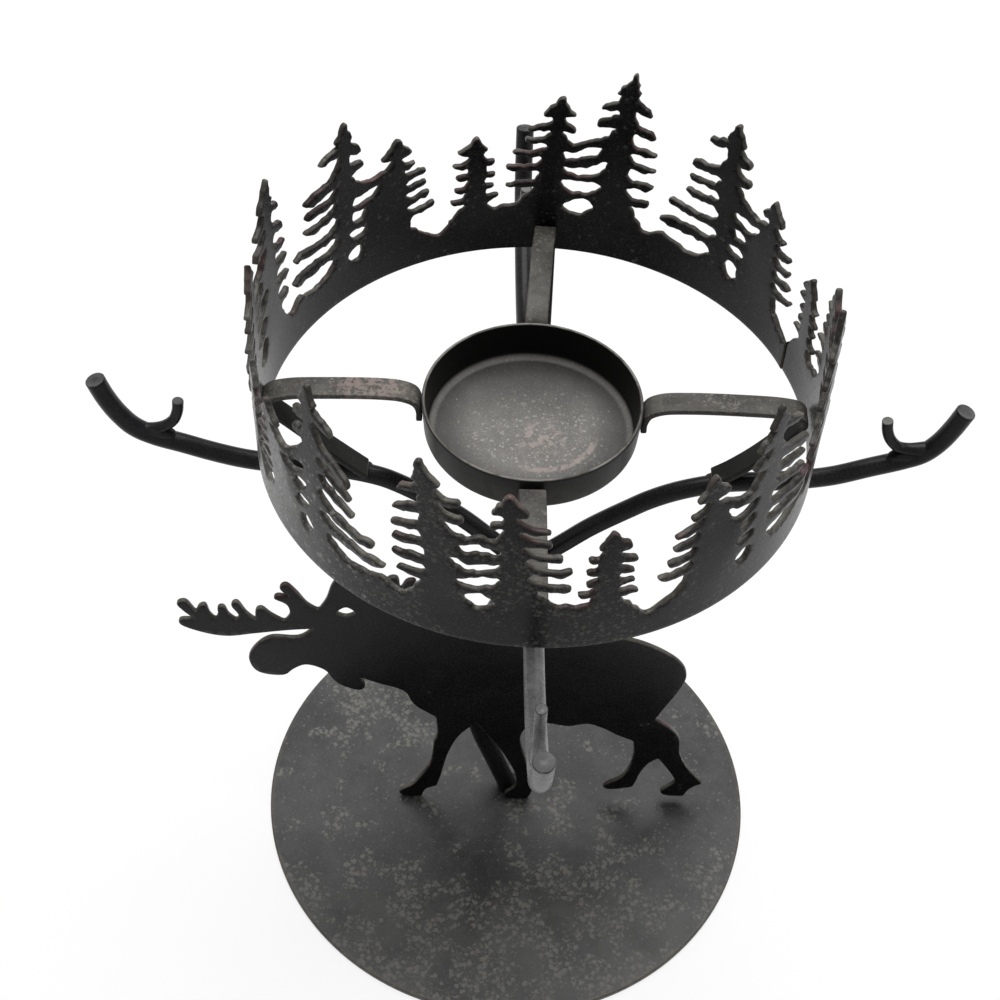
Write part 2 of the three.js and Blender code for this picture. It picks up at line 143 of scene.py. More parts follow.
def corner_arc(centre: Sequence[float], radius: float, start: float, end: float, steps: int) -> Knots:
    """Points on an arc in a profile.

    Args:
        centre: The arc's centre.
        radius: Its radius.
        start: The angle of its first point, in degrees.
        end: The angle of its last point, in degrees.
        steps: How many spans the arc has.

    Returns:
        The points, from the start to the end.
    """
    angles = np.radians(np.linspace(start, end, steps + 1))
    return [[centre[0] + radius * math.cos(a), centre[1] + radius * math.sin(a)] for a in angles]


@dataclass
class Shell:
    """The raw skin of a piece.

    Attributes:
        points: Points in millimetres, one row each.
        faces: Point numbers of each face, turning outwards.
        wear: How far each point lies on an edge that rubs bare, from 0 to 1.
    """

    points: np.ndarray
    faces: list[tuple[int, ...]]
    wear: np.ndarray

    def turned(self, degrees: float) -> "Shell":
        """The same skin turned about the upright axis."""
        angle = math.radians(degrees)
        cosine, sine = math.cos(angle), math.sin(angle)
        x, y, z = self.points.T
        points = np.stack([cosine * x - sine * y, sine * x + cosine * y, z], axis=1)
        return Shell(points, self.faces, self.wear)

    def moved(self, shift: Sequence[float]) -> "Shell":
        """The same skin somewhere else."""
        return Shell(self.points + np.asarray(shift, float), self.faces, self.wear)


def joined(low: range, high: range) -> list[tuple[int, ...]]:
    """Makes the faces from one closed ring of points to the next.

    Args:
        low: Point numbers of the first ring, or of the one point that it is.
        high: The same for the next ring.

    Returns:
        A face for each step round the rings.
    """
    faces = []
    steps = max(len(low), len(high))
    for i in range(steps):
        j = (i + 1) % steps
        corners = low[i % len(low)], low[j % len(low)], high[j % len(high)], high[i % len(high)]
        faces.append(tuple(dict.fromkeys(corners)))
    return faces


def round_section(radius: float, sides: int) -> Callable[[float], np.ndarray]:
    """The section of a round rod, as a function of how far it is drawn in at the rod's ends."""
    angles = 2 * math.pi * np.arange(sides) / sides

    def at(inset: float) -> np.ndarray:
        """The section drawn in by a distance."""
        return (radius - inset) * np.stack([np.cos(angles), np.sin(angles)], axis=1)

    return at


def flat_section(width: float, thickness: float, corner: float) -> Callable[[float], np.ndarray]:
    """The section of a flat bar with round edges, as a function of how far it is drawn in at its ends."""

    def at(inset: float) -> np.ndarray:
        """The section drawn in by a distance."""
        across, up = width / 2 - inset, thickness / 2 - inset
        rounding = max(corner - inset, 0.04)
        points = []
        for sign_x, sign_y, start in ((1, 1, 0), (-1, 1, 90), (-1, -1, 180), (1, -1, 270)):
            centre = (sign_x * (across - rounding), sign_y * (up - rounding))
            points += corner_arc(centre, rounding, start, start + 90, 3)
        return np.asarray(points)

    return at


def sweep(
    line: np.ndarray, section: Callable[[float], np.ndarray], chamfer: float, flare: float = 0.0
) -> Shell:
    """Draws a section along a line whose bends lie near an upright plane.

    Args:
        line: The centre line, in space.
        section: The section's points as [across, up] for a given inset.
        chamfer: Size of the rounded edge round each cut end.
        flare: How much thicker the first end is, as a share; it dies away over FLARE_REACH.

    Returns:
        A closed skin with a flat face at each end.
    """
    run = np.concatenate([[0.0], np.cumsum(np.linalg.norm(np.diff(line, axis=0), axis=1))])
    lead = [(0.0, chamfer), (0.3 * chamfer, 0.3 * chamfer), (chamfer, 0.0)]
    inner = run[(run > 1.5 * chamfer) & (run < run[-1] - 1.5 * chamfer)]
    tail = [(run[-1] - place, inset) for place, inset in lead[::-1]]
    stations = lead + [(place, 0.0) for place in inner] + tail
    headings = np.gradient(line, run, axis=0)
    points, wear = [], []
    for place, inset in stations:
        at = np.array([np.interp(place, run, column) for column in line.T])
        heading = np.array([np.interp(place, run, column) for column in headings.T])
        heading /= np.linalg.norm(heading)
        up = np.cross(heading, (0.0, 1.0, 0.0))
        up /= np.linalg.norm(up)
        across = np.cross(up, heading)
        outline = section(inset) * (1 + flare * max(0.0, 1 - place / FLARE_REACH) ** 2)
        points.append(at + outline[:, :1] * across + outline[:, 1:] * up)
        wear.append(np.full(len(outline), 1.0 if inset else 0.0))
    sides = len(points[0])
    rings = [range(first, first + sides) for first in range(0, len(points) * sides, sides)]
    faces = [face for low, high in zip(rings, rings[1:]) for face in joined(low, high)]
    faces += [tuple(rings[0])[::-1], tuple(rings[-1])]
    return Shell(np.vstack(points), faces, np.concatenate(wear))


def lathe(profile: Sequence[Sequence[float]], segments: int) -> Shell:
    """Turns a profile about the upright axis.

    Args:
        profile: Points as [radius, height] or [radius, height, wear], from the axis round to the axis.
        segments: How many steps the turn has.

    Returns:
        A closed skin.
    """
    points, wear, rings = [], [], []
    for radius, height, rub in ((*point, 0.0)[:3] for point in profile):
        count = 1 if radius == 0 else segments
        rings.append(range(len(points), len(points) + count))
        angles = [2 * math.pi * i / segments for i in range(count)]
        points += [(radius * math.cos(angle), radius * math.sin(angle), height) for angle in angles]
        wear += [rub] * count
    faces = [face for low, high in zip(rings, rings[1:]) for face in joined(low, high)]
    return Shell(np.array(points), faces, np.array(wear))


def inside(places: np.ndarray, loops: Sequence[np.ndarray]) -> np.ndarray:
    """Says which flat points lie in the material between closed loops.

    Args:
        places: The points to test.
        loops: The outline and the openings.

    Returns:
        One truth value for each point.
    """
    crossed = np.zeros(len(places), int)
    x, y = places[:, 0], places[:, 1]
    for loop in loops:
        for start, end in zip(loop, np.roll(loop, -1, axis=0)):
            if start[1] == end[1]:
                continue
            spans = (start[1] > y) != (end[1] > y)
            at = start[0] + (y - start[1]) * (end[0] - start[0]) / (end[1] - start[1])
            crossed += spans & (x < at)
    return crossed % 2 == 1


def drawn_in(loop: np.ndarray, distance: float) -> np.ndarray:
    """Moves a closed loop towards its material.

    Args:
        loop: The loop, with the material on its left.
        distance: How far its sides move.

    Returns:
        The moved points, in the same order.
    """
    ahead = np.roll(loop, -1, axis=0) - loop
    ahead /= np.linalg.norm(ahead, axis=1)[:, None]
    left = np.stack([-ahead[:, 1], ahead[:, 0]], axis=1)
    middle = left + np.roll(left, 1, axis=0)
    middle /= np.linalg.norm(middle, axis=1)[:, None]
    spread = np.clip(np.sum(middle * left, axis=1), MITRE_LIMIT, 1.0)
    return loop + middle * (distance / spread)[:, None]


def ragged(line: np.ndarray, size: float, depth: float, above: float) -> np.ndarray:
    """Moves the points of a flat line a little, as a hand-led cut wanders.

    Args:
        line: The points as [along, up].
        size: Half the length of a wave.
        depth: How far a point moves at the most, in either direction.
        above: Height over which the line wanders.

    Returns:
        The moved points.
    """
    wander = np.array([
        [noise.noise(Vector((*point, lane))) for lane in WANDER_LANES] for point in line / size
    ])
    free = np.clip((line[:, 1] - above) / size, 0, 1)
    return line + depth * free[:, None] * wander


def cut_plate(loops: Sequence[np.ndarray], thickness: float, edge: float, grid: float) -> Shell:
    """Builds a flat plate with rounded cut edges.

    Args:
        loops: The outline first, then the openings, each a closed loop.
        thickness: The plate's thickness.
        edge: Radius of its rounded edges.
        grid: Spacing of the points that fill the faces, so that the plate can be bent.

    Returns:
        The skin, with the plate in X and Y and its thickness centred on zero.
    """
    turned = []
    for index, loop in enumerate(loops):
        x, y = loop.T
        anticlockwise = np.sum(x * np.roll(y, -1) - np.roll(x, -1) * y) > 0
        turned.append(loop if anticlockwise == (index == 0) else loop[::-1])
    half = thickness / 2
    soft = 1 - math.sqrt(0.5)
    levels = [(edge, half), (soft * edge, half - soft * edge), (0.0, half - edge)]
    levels += [(inset, -height) for inset, height in levels[::-1]]
    rims = [drawn_in(loop, edge) for loop in turned]
    flat = np.vstack(rims)
    low, high = flat.min(axis=0), flat.max(axis=0)
    lattice = np.stack(np.meshgrid(*(np.arange(a + grid / 2, b, grid) for a, b in zip(low, high))), axis=-1)
    lattice = lattice.reshape(-1, 2)
    lattice = lattice[inside(lattice, rims)]
    nearest = np.concatenate([
        np.sqrt(((part[:, None] - flat[None]) ** 2).sum(axis=2).min(axis=1))
        for part in np.array_split(lattice, 1 + len(lattice) // TEST_AT_ONCE)
    ])
    fill = lattice[nearest > CLEAR_OF_RIM * grid]
    edges, start = [], 0
    for rim in rims:
        edges += [(start + i, start + (i + 1) % len(rim)) for i in range(len(rim))]
        start += len(rim)
    corners = np.vstack([flat, fill])
    flat_points = [Vector(corner) for corner in corners]
    made, _, triangles, sources, _, _ = delaunay_2d_cdt(flat_points, edges, [], 0, MERGE_WITHIN)
    source = [min(s) if s else -1 for s in sources]
    middles = np.array([np.mean([made[i] for i in t], axis=0) for t in triangles])
    kept = inside(middles, rims)
    rim_count, fill_count = len(flat), len(fill)
    points = []
    for inset, height in levels:
        level = np.vstack([drawn_in(loop, inset) for loop in turned])
        points.append(np.column_stack([level, np.full(rim_count, height)]))
    for height in (half, -half):
        points.append(np.column_stack([fill, np.full(fill_count, height)]))
    under_rim = (len(levels) - 1) * rim_count
    over_fill, under_fill = under_rim, under_rim + fill_count
    faces = []
    for triangle, keep in zip(triangles, kept):
        corner = [source[i] for i in triangle]
        if keep and -1 not in corner:
            faces.append(tuple(c if c < rim_count else over_fill + c for c in corner))
            faces.append(tuple(c + (under_rim if c < rim_count else under_fill) for c in corner[::-1]))
    for upper in range(0, under_rim, rim_count):
        lower = upper + rim_count
        faces += [(upper + a, lower + a, lower + b, upper + b) for a, b in edges]
    wear = np.zeros(len(levels) * rim_count + 2 * fill_count)
    wear[rim_count:under_rim] = 1.0
    return Shell(np.vstack(points), faces, wear)


def bead(centre: Sequence[float], size: Sequence[float], seed: float, tilt: float = 0.0) -> Shell:
    """Builds a lump of weld.

    Args:
        centre: Its middle.
        size: Its half sizes along, across and up.
        seed: A number that sets its unevenness.
        tilt: Its turn about Y, in degrees.

    Returns:
        A closed skin.
    """
    rings, around = 22, 36
    lump_scale, lump_height = 1.6, 0.13
    angles = [math.pi * i / rings for i in range(1, rings)]
    ball = lathe([(0, -1), *((math.sin(a), -math.cos(a)) for a in angles), (0, 1)], around)
    spin = Matrix.Rotation(math.radians(tilt), 3, "Y")
    points = []
    for point in ball.points:
        lumps = noise.noise(Vector(lump_scale * point + (seed, 0, 0)))
        points.append(spin @ Vector(point * size * (1 + lump_height * lumps)))
    return Shell(np.array(points) + np.asarray(centre, float), ball.faces, ball.wear)


# Shader maths


@dataclass
class Wire:
    """An output of a shader node that takes part in Python maths."""

    shader: "Shader"
    socket: bpy.types.NodeSocket

    def _with(self, operation: str, *values: "Wire | float") -> "Wire":
        """Adds one Math node."""
        return self.shader.node("ShaderNodeMath", {"operation": operation}, dict(enumerate(values)))

    def __add__(self, other: "Wire | float") -> "Wire":
        """Adds a value."""
        return self._with("ADD", self, other)

    def __sub__(self, other: "Wire | float") -> "Wire":
        """Takes a value away."""
        return self._with("SUBTRACT", self, other)

    def __rsub__(self, other: "Wire | float") -> "Wire":
        """Takes this away from a value."""
        return self._with("SUBTRACT", other, self)

    def __mul__(self, other: "Wire | float") -> "Wire":
        """Multiplies by a value."""
        return self._with("MULTIPLY", self, other)

    __radd__ = __add__
    __rmul__ = __mul__

    def __or__(self, other: "Wire | float") -> "Wire":
        """The larger of two masks."""
        return self._with("MAXIMUM", self, other)

    def fade(self, low: float, high: float) -> "Wire":
        """A smooth step from 0 at low to 1 at high; it falls where low is the larger."""
        settings = {"interpolation_type": "SMOOTHSTEP"}
        if low < high:
            return self.shader.node("ShaderNodeMapRange", settings, {0: self, 1: low, 2: high})
        return 1 - self.shader.node("ShaderNodeMapRange", settings, {0: self, 1: high, 2: low})


class Shader:
    """The nodes of a material or of the world, under construction."""

    def __init__(self, owner: bpy.types.Material | bpy.types.World) -> None:
        """Empties the owner's nodes.

        Args:
            owner: The material or the world that the nodes belong to.
        """
        owner.use_nodes = True
        self.tree = owner.node_tree
        self.tree.nodes.clear()

    def node(
        self, kind: str, settings: dict | None = None, sockets: dict | None = None, output: int | str = 0
    ) -> Wire:
        """Adds one node.

        Args:
            kind: The node's type.
            settings: Its properties, set before its sockets.
            sockets: A value or a wire for each named or numbered input.
            output: Which output the wire comes from.

        Returns:
            The node's output.
        """
        made = self.tree.nodes.new(kind)
        for key, value in (settings or {}).items():
            setattr(made, key, value)
        for key, value in (sockets or {}).items():
            if isinstance(value, Wire):
                self.tree.links.new(value.socket, made.inputs[key])
            else:
                made.inputs[key].default_value = value
        return Wire(self, made.outputs[output] if made.outputs else made.inputs[0])

    def place(self) -> Wire:
        """The point on the piece, in millimetres."""
        point = self.node("ShaderNodeTexCoord", output="Object")
        return self.node("ShaderNodeVectorMath", {"operation": "SCALE"}, {0: point, "Scale": 1 / MM})

    def clouds(self, place: Wire, size: float, detail: float = 2.0, rough: float = 0.5) -> Wire:
        """Noise whose clouds are about this many millimetres across."""
        sockets = {"Vector": place, "Scale": 1 / size, "Detail": detail, "Roughness": rough}
        return self.node("ShaderNodeTexNoise", None, sockets, "Fac")

    def specks(self, place: Wire, spacing: float, radius: float, share: Wire | float) -> Wire:
        """Roundish specks strewn over the surface.

        Args:
            place: The point on the piece.
            spacing: Millimetres from one possible speck to the next.
            radius: A speck's radius, in millimetres.
            share: The share of the possible specks that are there.

        Returns:
            A mask that is 1 on the specks.
        """
        sockets = {"Vector": place, "Scale": 1 / spacing}
        cell = self.node("ShaderNodeTexVoronoi", {"feature": "F1"}, sockets, "Distance")
        middle = self.node("ShaderNodeTexVoronoi", {"feature": "F1"}, sockets, "Position")
        lot = self.node("ShaderNodeTexWhiteNoise", None, {"Vector": middle}, "Value")
        away = cell * spacing + 1.6 * radius * (self.clouds(place, size=1.2 * radius) - 0.5)
        return away.fade(1.15 * radius, 0.6 * radius) * (lot + share).fade(1.0, 1.04)

    def seen_directly(self) -> Wire:
        """1 for what the camera sees itself, in a reflection or through a piece; 0 for other light."""
        kinds = ("Is Camera Ray", "Is Glossy Ray", "Is Transmission Ray")
        camera, glossy, through = (self.node("ShaderNodeLightPath", output=kind) for kind in kinds)
        return camera | glossy | through

    def from_axis(self, place: Wire, centre_x: float) -> Wire:
        """Millimetres from a point on the piece to an upright axis over the X axis."""
        flat = self.node("ShaderNodeVectorMath", {"operation": "MULTIPLY"}, {0: place, 1: (1.0, 1.0, 0.0)})
        return self.distance(flat, (centre_x, 0.0, 0.0))

    def distance(self, place: Wire, centre: Sequence[float]) -> Wire:
        """Millimetres from a point on the piece to a fixed point."""
        return self.node("ShaderNodeVectorMath", {"operation": "DISTANCE"}, {0: place, 1: centre}, "Value")

    def part(self, place: Wire, axis: str) -> Wire:
        """One coordinate of a place."""
        return self.node("ShaderNodeSeparateXYZ", None, {0: place}, axis)

    def mix(self, share: Wire | float, under: Wire | Colour, over: Wire | Colour) -> Wire:
        """Lays one colour over another."""
        ends = [value if isinstance(value, Wire) else (*value, 1.0) for value in (under, over)]
        return self.node("ShaderNodeMix", {"data_type": "RGBA"}, {0: share, 6: ends[0], 7: ends[1]}, 2)

    def finish(self, surface: Wire) -> None:
        """Connects a material's surface."""
        self.node("ShaderNodeOutputMaterial", None, {"Surface": surface})


# Finishes


def times(colour: Colour, factor: float) -> Colour:
    """A colour made brighter or darker."""
    return tuple(factor * part for part in colour)


@dataclass(frozen=True)
class Coat:
    """A baked-on dark coat over steel, with pale flakes, fine specks and rubbed edges.

    Attributes:
        name: Name of the material.
        ground: Colour of the coat.
        flake: Colour of its pale flakes.
        flake_size: Size of the largest flakes, in millimetres.
        flake_cover: Share of the possible flakes in a cluster that are there.
        cluster: Share of the surface that lies in clusters.
        speck_share: Share of the possible specks that are there.
        edge: Colour of rubbed edges.
        tint: Warmer colour of some stretches of them.
        edge_share: How strongly the edges are rubbed.
        gloss: The coat's roughness.
        shine: How strongly it mirrors, as the shader's specular level.
        grain: Depth of the coat's orange-peel grain, in millimetres.
        uneven: How much lighter and darker the ground gets from place to place.
        second: Colour that the ground takes in some parts; on the cup and straps it is painted shade, on the
            ring's left dust with a painted sheen.
        rubbed: Colour of the marks where it is rubbed through.
    """

    name: str
    ground: Colour = (0.0052, 0.0052, 0.0056)
    flake: Colour = (0.058, 0.056, 0.052)
    flake_size: float = 0.9
    flake_cover: float = 0.75
    cluster: float = 0.75
    speck_share: float = 0.4
    edge: Colour = (0.108, 0.101, 0.087)
    tint: Colour = (0.090, 0.056, 0.055)
    edge_share: float = 0.9
    gloss: float = 0.28
    shine: float = 0.12
    grain: float = 0.025
    uneven: float = 0.4
    second: Colour = (0.005, 0.005, 0.0055)
    rubbed: Colour = (0.30, 0.25, 0.23)

    def clusters(self, shader: Shader, place: Wire) -> Wire:
        """Where the flakes gather, from 0 to 1."""
        return shader.clouds(place, size=13.0).fade(0.66 - 0.3 * self.cluster, 0.78 - 0.3 * self.cluster)

    def rub(self, shader: Shader, place: Wire) -> Wire | None:
        """Where the coat is rubbed through; nowhere on a plain coat."""
        return None

    def shade(self, shader: Shader, place: Wire) -> Wire | None:
        """How far the ground takes its second colour; nowhere on a plain coat."""
        return None

    def material(self) -> bpy.types.Material:
        """Builds the material."""
        made = bpy.data.materials.new(self.name)
        shader = Shader(made)
        place = shader.place()
        grain = shader.clouds(place, size=0.42, detail=3.0, rough=0.6)
        fine_mottle = shader.clouds(place, size=4.0, detail=4.0, rough=0.6)
        mottle = 0.5 * fine_mottle + 0.5 * shader.clouds(place, size=20.0)
        gathered = self.clusters(shader, place)
        size = self.flake_size
        many, some = self.flake_cover * gathered, self.flake_cover * (0.12 + 0.68 * gathered)
        flakes = shader.specks(place, spacing=1.15 * size, radius=0.5 * size, share=many)
        crumbs = shader.specks(place, spacing=0.72 * size, radius=0.27 * size, share=some)
        fine = shader.specks(place, spacing=0.5, radius=0.12, share=self.speck_share)
        dust = shader.specks(place, spacing=3.4, radius=0.14, share=self.speck_share)
        darker, paler = times(self.ground, 1 - 0.75 * self.uneven), times(self.ground, 1 + 1.4 * self.uneven)
        colour = shader.mix(mottle.fade(0.36, 0.64), darker, paler)
        haze = grain.fade(0.45, 0.8) * (0.2 + 0.3 * gathered)
        for share, over in (
            (haze, self.flake), (crumbs * 0.45, self.flake), (flakes * 0.7, self.flake),
            (fine * 0.5, times(self.flake, 1.2)), (dust * 0.7, times(self.flake, 2.5)),
        ):
            colour = shader.mix(share, colour, over)
        # The second colour lies where shade() says: painted shade on the cup and straps, dust with a painted
        # sheen on the ring, a greyer front on the base.
        shade = self.shade(shader, place)
        if shade is not None:
            colour = shader.mix(shade, colour, self.second)
        wear = shader.node("ShaderNodeAttribute", {"attribute_name": "wear"}, output="Fac")
        patches = shader.clouds(place, size=2.2, detail=3.0).fade(0.2, 0.52)
        stretches = 0.4 + 0.6 * shader.clouds(place, size=9.0, detail=1.0).fade(0.42, 0.58)
        bare = wear * patches * stretches * self.edge_share
        warm = shader.clouds(place, size=14.0, detail=1.0).fade(0.53, 0.63)
        colour = shader.mix(bare, colour, shader.mix(warm, self.edge, self.tint))
        rubbed = self.rub(shader, place)
        if rubbed is not None:
            colour = shader.mix(rubbed, colour, self.rubbed)
            bare = bare | rubbed
        rough = self.gloss + 0.1 * flakes + 0.12 * (grain - 0.5) - 0.06 * bare
        height = grain * self.grain + flakes * 0.015 + fine * 0.015 - bare * 0.01
        bump = {"Height": height, "Distance": MM, "Strength": 1.0}
        normal = shader.node("ShaderNodeBump", None, bump, "Normal")
        sockets = {
            "Base Color": colour, "Roughness": rough, "Normal": normal, "Specular IOR Level": self.shine,
        }
        shader.finish(shader.node("ShaderNodeBsdfPrincipled", None, sockets))
        return made


@dataclass(frozen=True)
class BandCoat(Coat):
    """The ring's coat: speckled in front, nearly plain at the back, and pale at the left with dust and a
    painted sheen.
    """

    def clusters(self, shader: Shader, place: Wire) -> Wire:
        """Where the flakes gather, from 0 to 1."""
        forward = shader.part(place, "Y").fade(25, -15)
        return super().clusters(shader, place) * (0.2 + 0.8 * forward) | 0.8 * self.left_dust_and_sheen(shader, place)

    def left_dust_and_sheen(self, shader: Shader, place: Wire) -> Wire:
        """How near a place is to the left of the band, where dust and a painted sheen lie."""
        return shader.distance(place, (-50.0, -18.0, 139.0)).fade(34, 14)

    def shade(self, shader: Shader, place: Wire) -> Wire:
        """A pale veil lies over the left of the band, partly dust and partly a painted sheen, with paler
        flakes in it.
        """
        large = shader.specks(place, spacing=1.9, radius=0.5, share=0.6)
        flakes = large | shader.specks(place, spacing=1.1, radius=0.27, share=0.6)
        near = shader.distance(place, (-46.0, -26.0, 139.0)).fade(36, 20)
        streaks = shader.clouds(place, size=5.0, detail=4.0, rough=0.65).fade(0.35, 0.65)
        return self.left_dust_and_sheen(shader, place) * (0.14 + 0.12 * streaks) + 0.4 * near * flakes


@dataclass(frozen=True)
class BaseCoat(Coat):
    """The base's coat: its flakes gather along the front and at the back left.

    Attributes:
        front: How far forward the front cluster is full, in millimetres.
    """

    front: float = -34.0

    def clusters(self, shader: Shader, place: Wire) -> Wire:
        """Where the flakes gather, from 0 to 1."""
        forward = shader.part(place, "Y").fade(self.front + 26, self.front)
        corner = shader.distance(place, (-38.0, 24.0, 1.5)).fade(22, 8)
        patches = shader.clouds(place, size=9.0)
        return (patches + 0.15 * forward + 0.13 * corner).fade(0.54, 0.66)

    def shade(self, shader: Shader, place: Wire) -> Wire:
        """The ground gets greyer towards the front."""
        streaks = shader.clouds(place, size=12.0, detail=3.0).fade(0.3, 0.7)
        return shader.part(place, "Y").fade(self.front + 20, self.front - 4) * (0.14 + 0.3 * streaks)


@dataclass(frozen=True)
class CupCoat(Coat):
    """The cup's coat: pale specks on its floor, painted shade on its walls and round the edge of its floor,
    and pink marks where candles have stood.

    Attributes:
        floor: Height of the cup's floor.
        off_centre: Where the cup's axis crosses X.
        wall_middle: Distance from the cup's axis to the middle of its wall.
    """

    floor: float = 132.4
    off_centre: float = -0.58
    wall_middle: float = 20.4

    def clusters(self, shader: Shader, place: Wire) -> Wire:
        """The specks gather in the middle of the floor."""
        patches = 0.4 + 0.6 * shader.clouds(place, size=5.0).fade(0.4, 0.6)
        return shader.distance(place, (0.0, -2.0, self.floor)).fade(17, 7) * patches

    def shade(self, shader: Shader, place: Wire) -> Wire:
        """Painted shade: the walls are darker than the floor, and the floor darkens towards them and towards
        the back.
        """
        away = shader.from_axis(place, self.off_centre)
        # Painted shade on the inner and outer walls, and on the floor near the wall and towards the back,
        # where the wall's shadow falls.
        wall = shader.part(place, "Z").fade(self.floor + 0.35, self.floor + 1.1)
        within = away.fade(self.wall_middle + 0.05, self.wall_middle - 0.05)
        edge = away.fade(9, 17.5) * 0.6 | shader.part(place, "Y").fade(-3, 17) * 0.7
        return wall * (0.87 + 0.10 * within) | edge * away.fade(19.0, 18.1)

    def rub(self, shader: Shader, place: Wire) -> Wire:
        """The rubbed marks in the middle of the floor and an arc near its edge."""
        height = shader.part(place, "Z").fade(self.floor + 1.2, self.floor + 0.5)
        middle = shader.distance(place, (1.5, -3.0, self.floor)).fade(6.5, 2.5)
        blots = shader.clouds(place, size=1.7, detail=5.0, rough=0.65)
        spots = (blots + 0.1 * middle).fade(0.59, 0.64) * middle
        ring = shader.distance(place, (1.2, 0.0, self.floor))
        along = shader.distance(place, (6.0, -9.0, self.floor)).fade(10, 6)
        arc = ring.fade(10.0, 10.5) * ring.fade(11.7, 11.1) * along
        return (spots | arc * blots.fade(0.42, 0.50)) * height * 0.65


@dataclass(frozen=True)
class StrapCoat(Coat):
    """The straps' coat: grey and khaki on top, with painted shade on the leg that runs down to the arm, and
    rubbed in fine blots next to the cup and where it folds.
    """

    def shade(self, shader: Shader, place: Wire) -> Wire:
        """Painted shade: the leg that runs down and back to the arm is darker, as it lies in shadow under
        the strap.
        """
        return shader.part(place, "Z").fade(139.0, 136.5) * 0.85

    def rub(self, shader: Shader, place: Wire) -> Wire:
        """Blots on the top of the strap between the cup and the ring."""
        top = shader.part(place, "Z").fade(138.5, 140.4)
        left = shader.distance(place, (-31.0, 1.0, 141.0)).fade(9, 4)
        blots = shader.clouds(place, size=1.1, detail=4.0, rough=0.65)
        return (blots + 0.12 * left).fade(0.54, 0.68) * (0.4 + 0.6 * left) * top * 0.65


@dataclass
class Finishes:
    """Every finish on the holder, each made once."""

    plate: bpy.types.Material = field(init=False)
    moose: bpy.types.Material = field(init=False)
    rod: bpy.types.Material = field(init=False)
    painted_light_rod: bpy.types.Material = field(init=False)
    base: bpy.types.Material = field(init=False)
    cup: bpy.types.Material = field(init=False)
    strap: bpy.types.Material = field(init=False)
    weld: bpy.types.Material = field(init=False)

    def __post_init__(self) -> None:
        """Builds the materials."""
        # The ring's second colour is the pale veil on its left: dust with a painted sheen.
        self.plate = BandCoat("plate_coat", flake=(0.078, 0.075, 0.068),
                              second=(0.41, 0.41, 0.40)).material()
        self.moose = Coat("moose_coat", flake_cover=0.1, cluster=0.2, speck_share=0.06).material()
        rod = Coat("rod_coat", ground=(0.010, 0.010, 0.011), flake=(0.035, 0.035, 0.034), flake_cover=0.3,
                   cluster=0.3, speck_share=0.25, edge=(0.13, 0.128, 0.125), tint=(0.12, 0.118, 0.115))
        self.rod = rod.material()
        # Painted light: this paler copy of the rod coat paints the light that the front arm and its twig
        # catch from above.
        self.painted_light_rod = replace(rod, name="pale_rod_coat", ground=(0.120, 0.120, 0.119),
                                flake=(0.25, 0.25, 0.245), flake_cover=0.8, speck_share=0.6,
                                edge=(0.022, 0.022, 0.021), tint=(0.022, 0.022, 0.021),
                                shine=0.15).material()
        self.base = BaseCoat("base_coat", ground=(0.030, 0.030, 0.031), flake=(0.155, 0.151, 0.134),
                             flake_size=1.3, flake_cover=1.25, speck_share=0.4, edge=(0.09, 0.08, 0.065),
                             tint=(0.09, 0.08, 0.065), second=(0.090, 0.089, 0.083), gloss=0.42,
                             shine=0.2).material()
        # The cup's second colour is the painted shade on its walls and at the edge of its floor.
        self.cup = CupCoat("cup_coat", ground=(0.140, 0.134, 0.127), flake=(0.30, 0.29, 0.26),
                           flake_size=0.65, uneven=0.1, flake_cover=0.6, speck_share=0.45,
                           edge=(0.22, 0.21, 0.19), tint=(0.22, 0.21, 0.19),
                           second=(0.003, 0.003, 0.003), gloss=0.42, shine=0.08).material()
        # The straps' second colour is the painted shade on their lower legs.
        self.strap = StrapCoat("strap_coat", ground=(0.058, 0.056, 0.050), flake=(0.15, 0.143, 0.125),
                               flake_size=0.8, flake_cover=0.5, rubbed=(0.24, 0.19, 0.172),
                               edge=(0.12, 0.105, 0.085), tint=(0.13, 0.095, 0.07),
                               second=(0.007, 0.007, 0.0075), gloss=0.4, shine=0.1).material()
        self.weld = Coat("weld_coat", ground=(0.014, 0.014, 0.014), flake=(0.05, 0.048, 0.046),
                         flake_cover=0.15, cluster=0.2, speck_share=0.15, edge_share=0.2, gloss=0.4,
                         grain=0.05).material()


def add_piece(name: str, shell: Shell, node: str, finish: bpy.types.Material) -> None:
    """Makes one visible piece from a skin and puts it in place of its solid.

    Args:
        name: The piece's name.
        shell: Its skin, in millimetres.
        node: The solid that it stands for.
        finish: Its material.
    """
    mesh = bpy.data.meshes.new(name)
    mesh.from_pydata((shell.points * MM).tolist(), [], shell.faces)
    mesh.attributes.new("wear", "FLOAT", "POINT").data.foreach_set("value", shell.wear.astype(np.float32))
    mesh.validate()
    mesh.update()
    mesh.shade_smooth()
    mesh.set_sharp_from_angle(angle=math.radians(SHARP_FROM))
    mesh.materials.append(finish)
    piece = bpy.data.objects.new(name, mesh)
    bpy.context.scene.collection.objects.link(piece)
    weights = piece.modifiers.new("even_shading", "WEIGHTED_NORMAL")
    weights.keep_sharp = True
    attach(piece, "root")
    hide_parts(node)
    LOG.info("%s: %d points, %d faces, stands for %s", name, len(mesh.vertices), len(mesh.polygons), node)


# Sub-assemblies


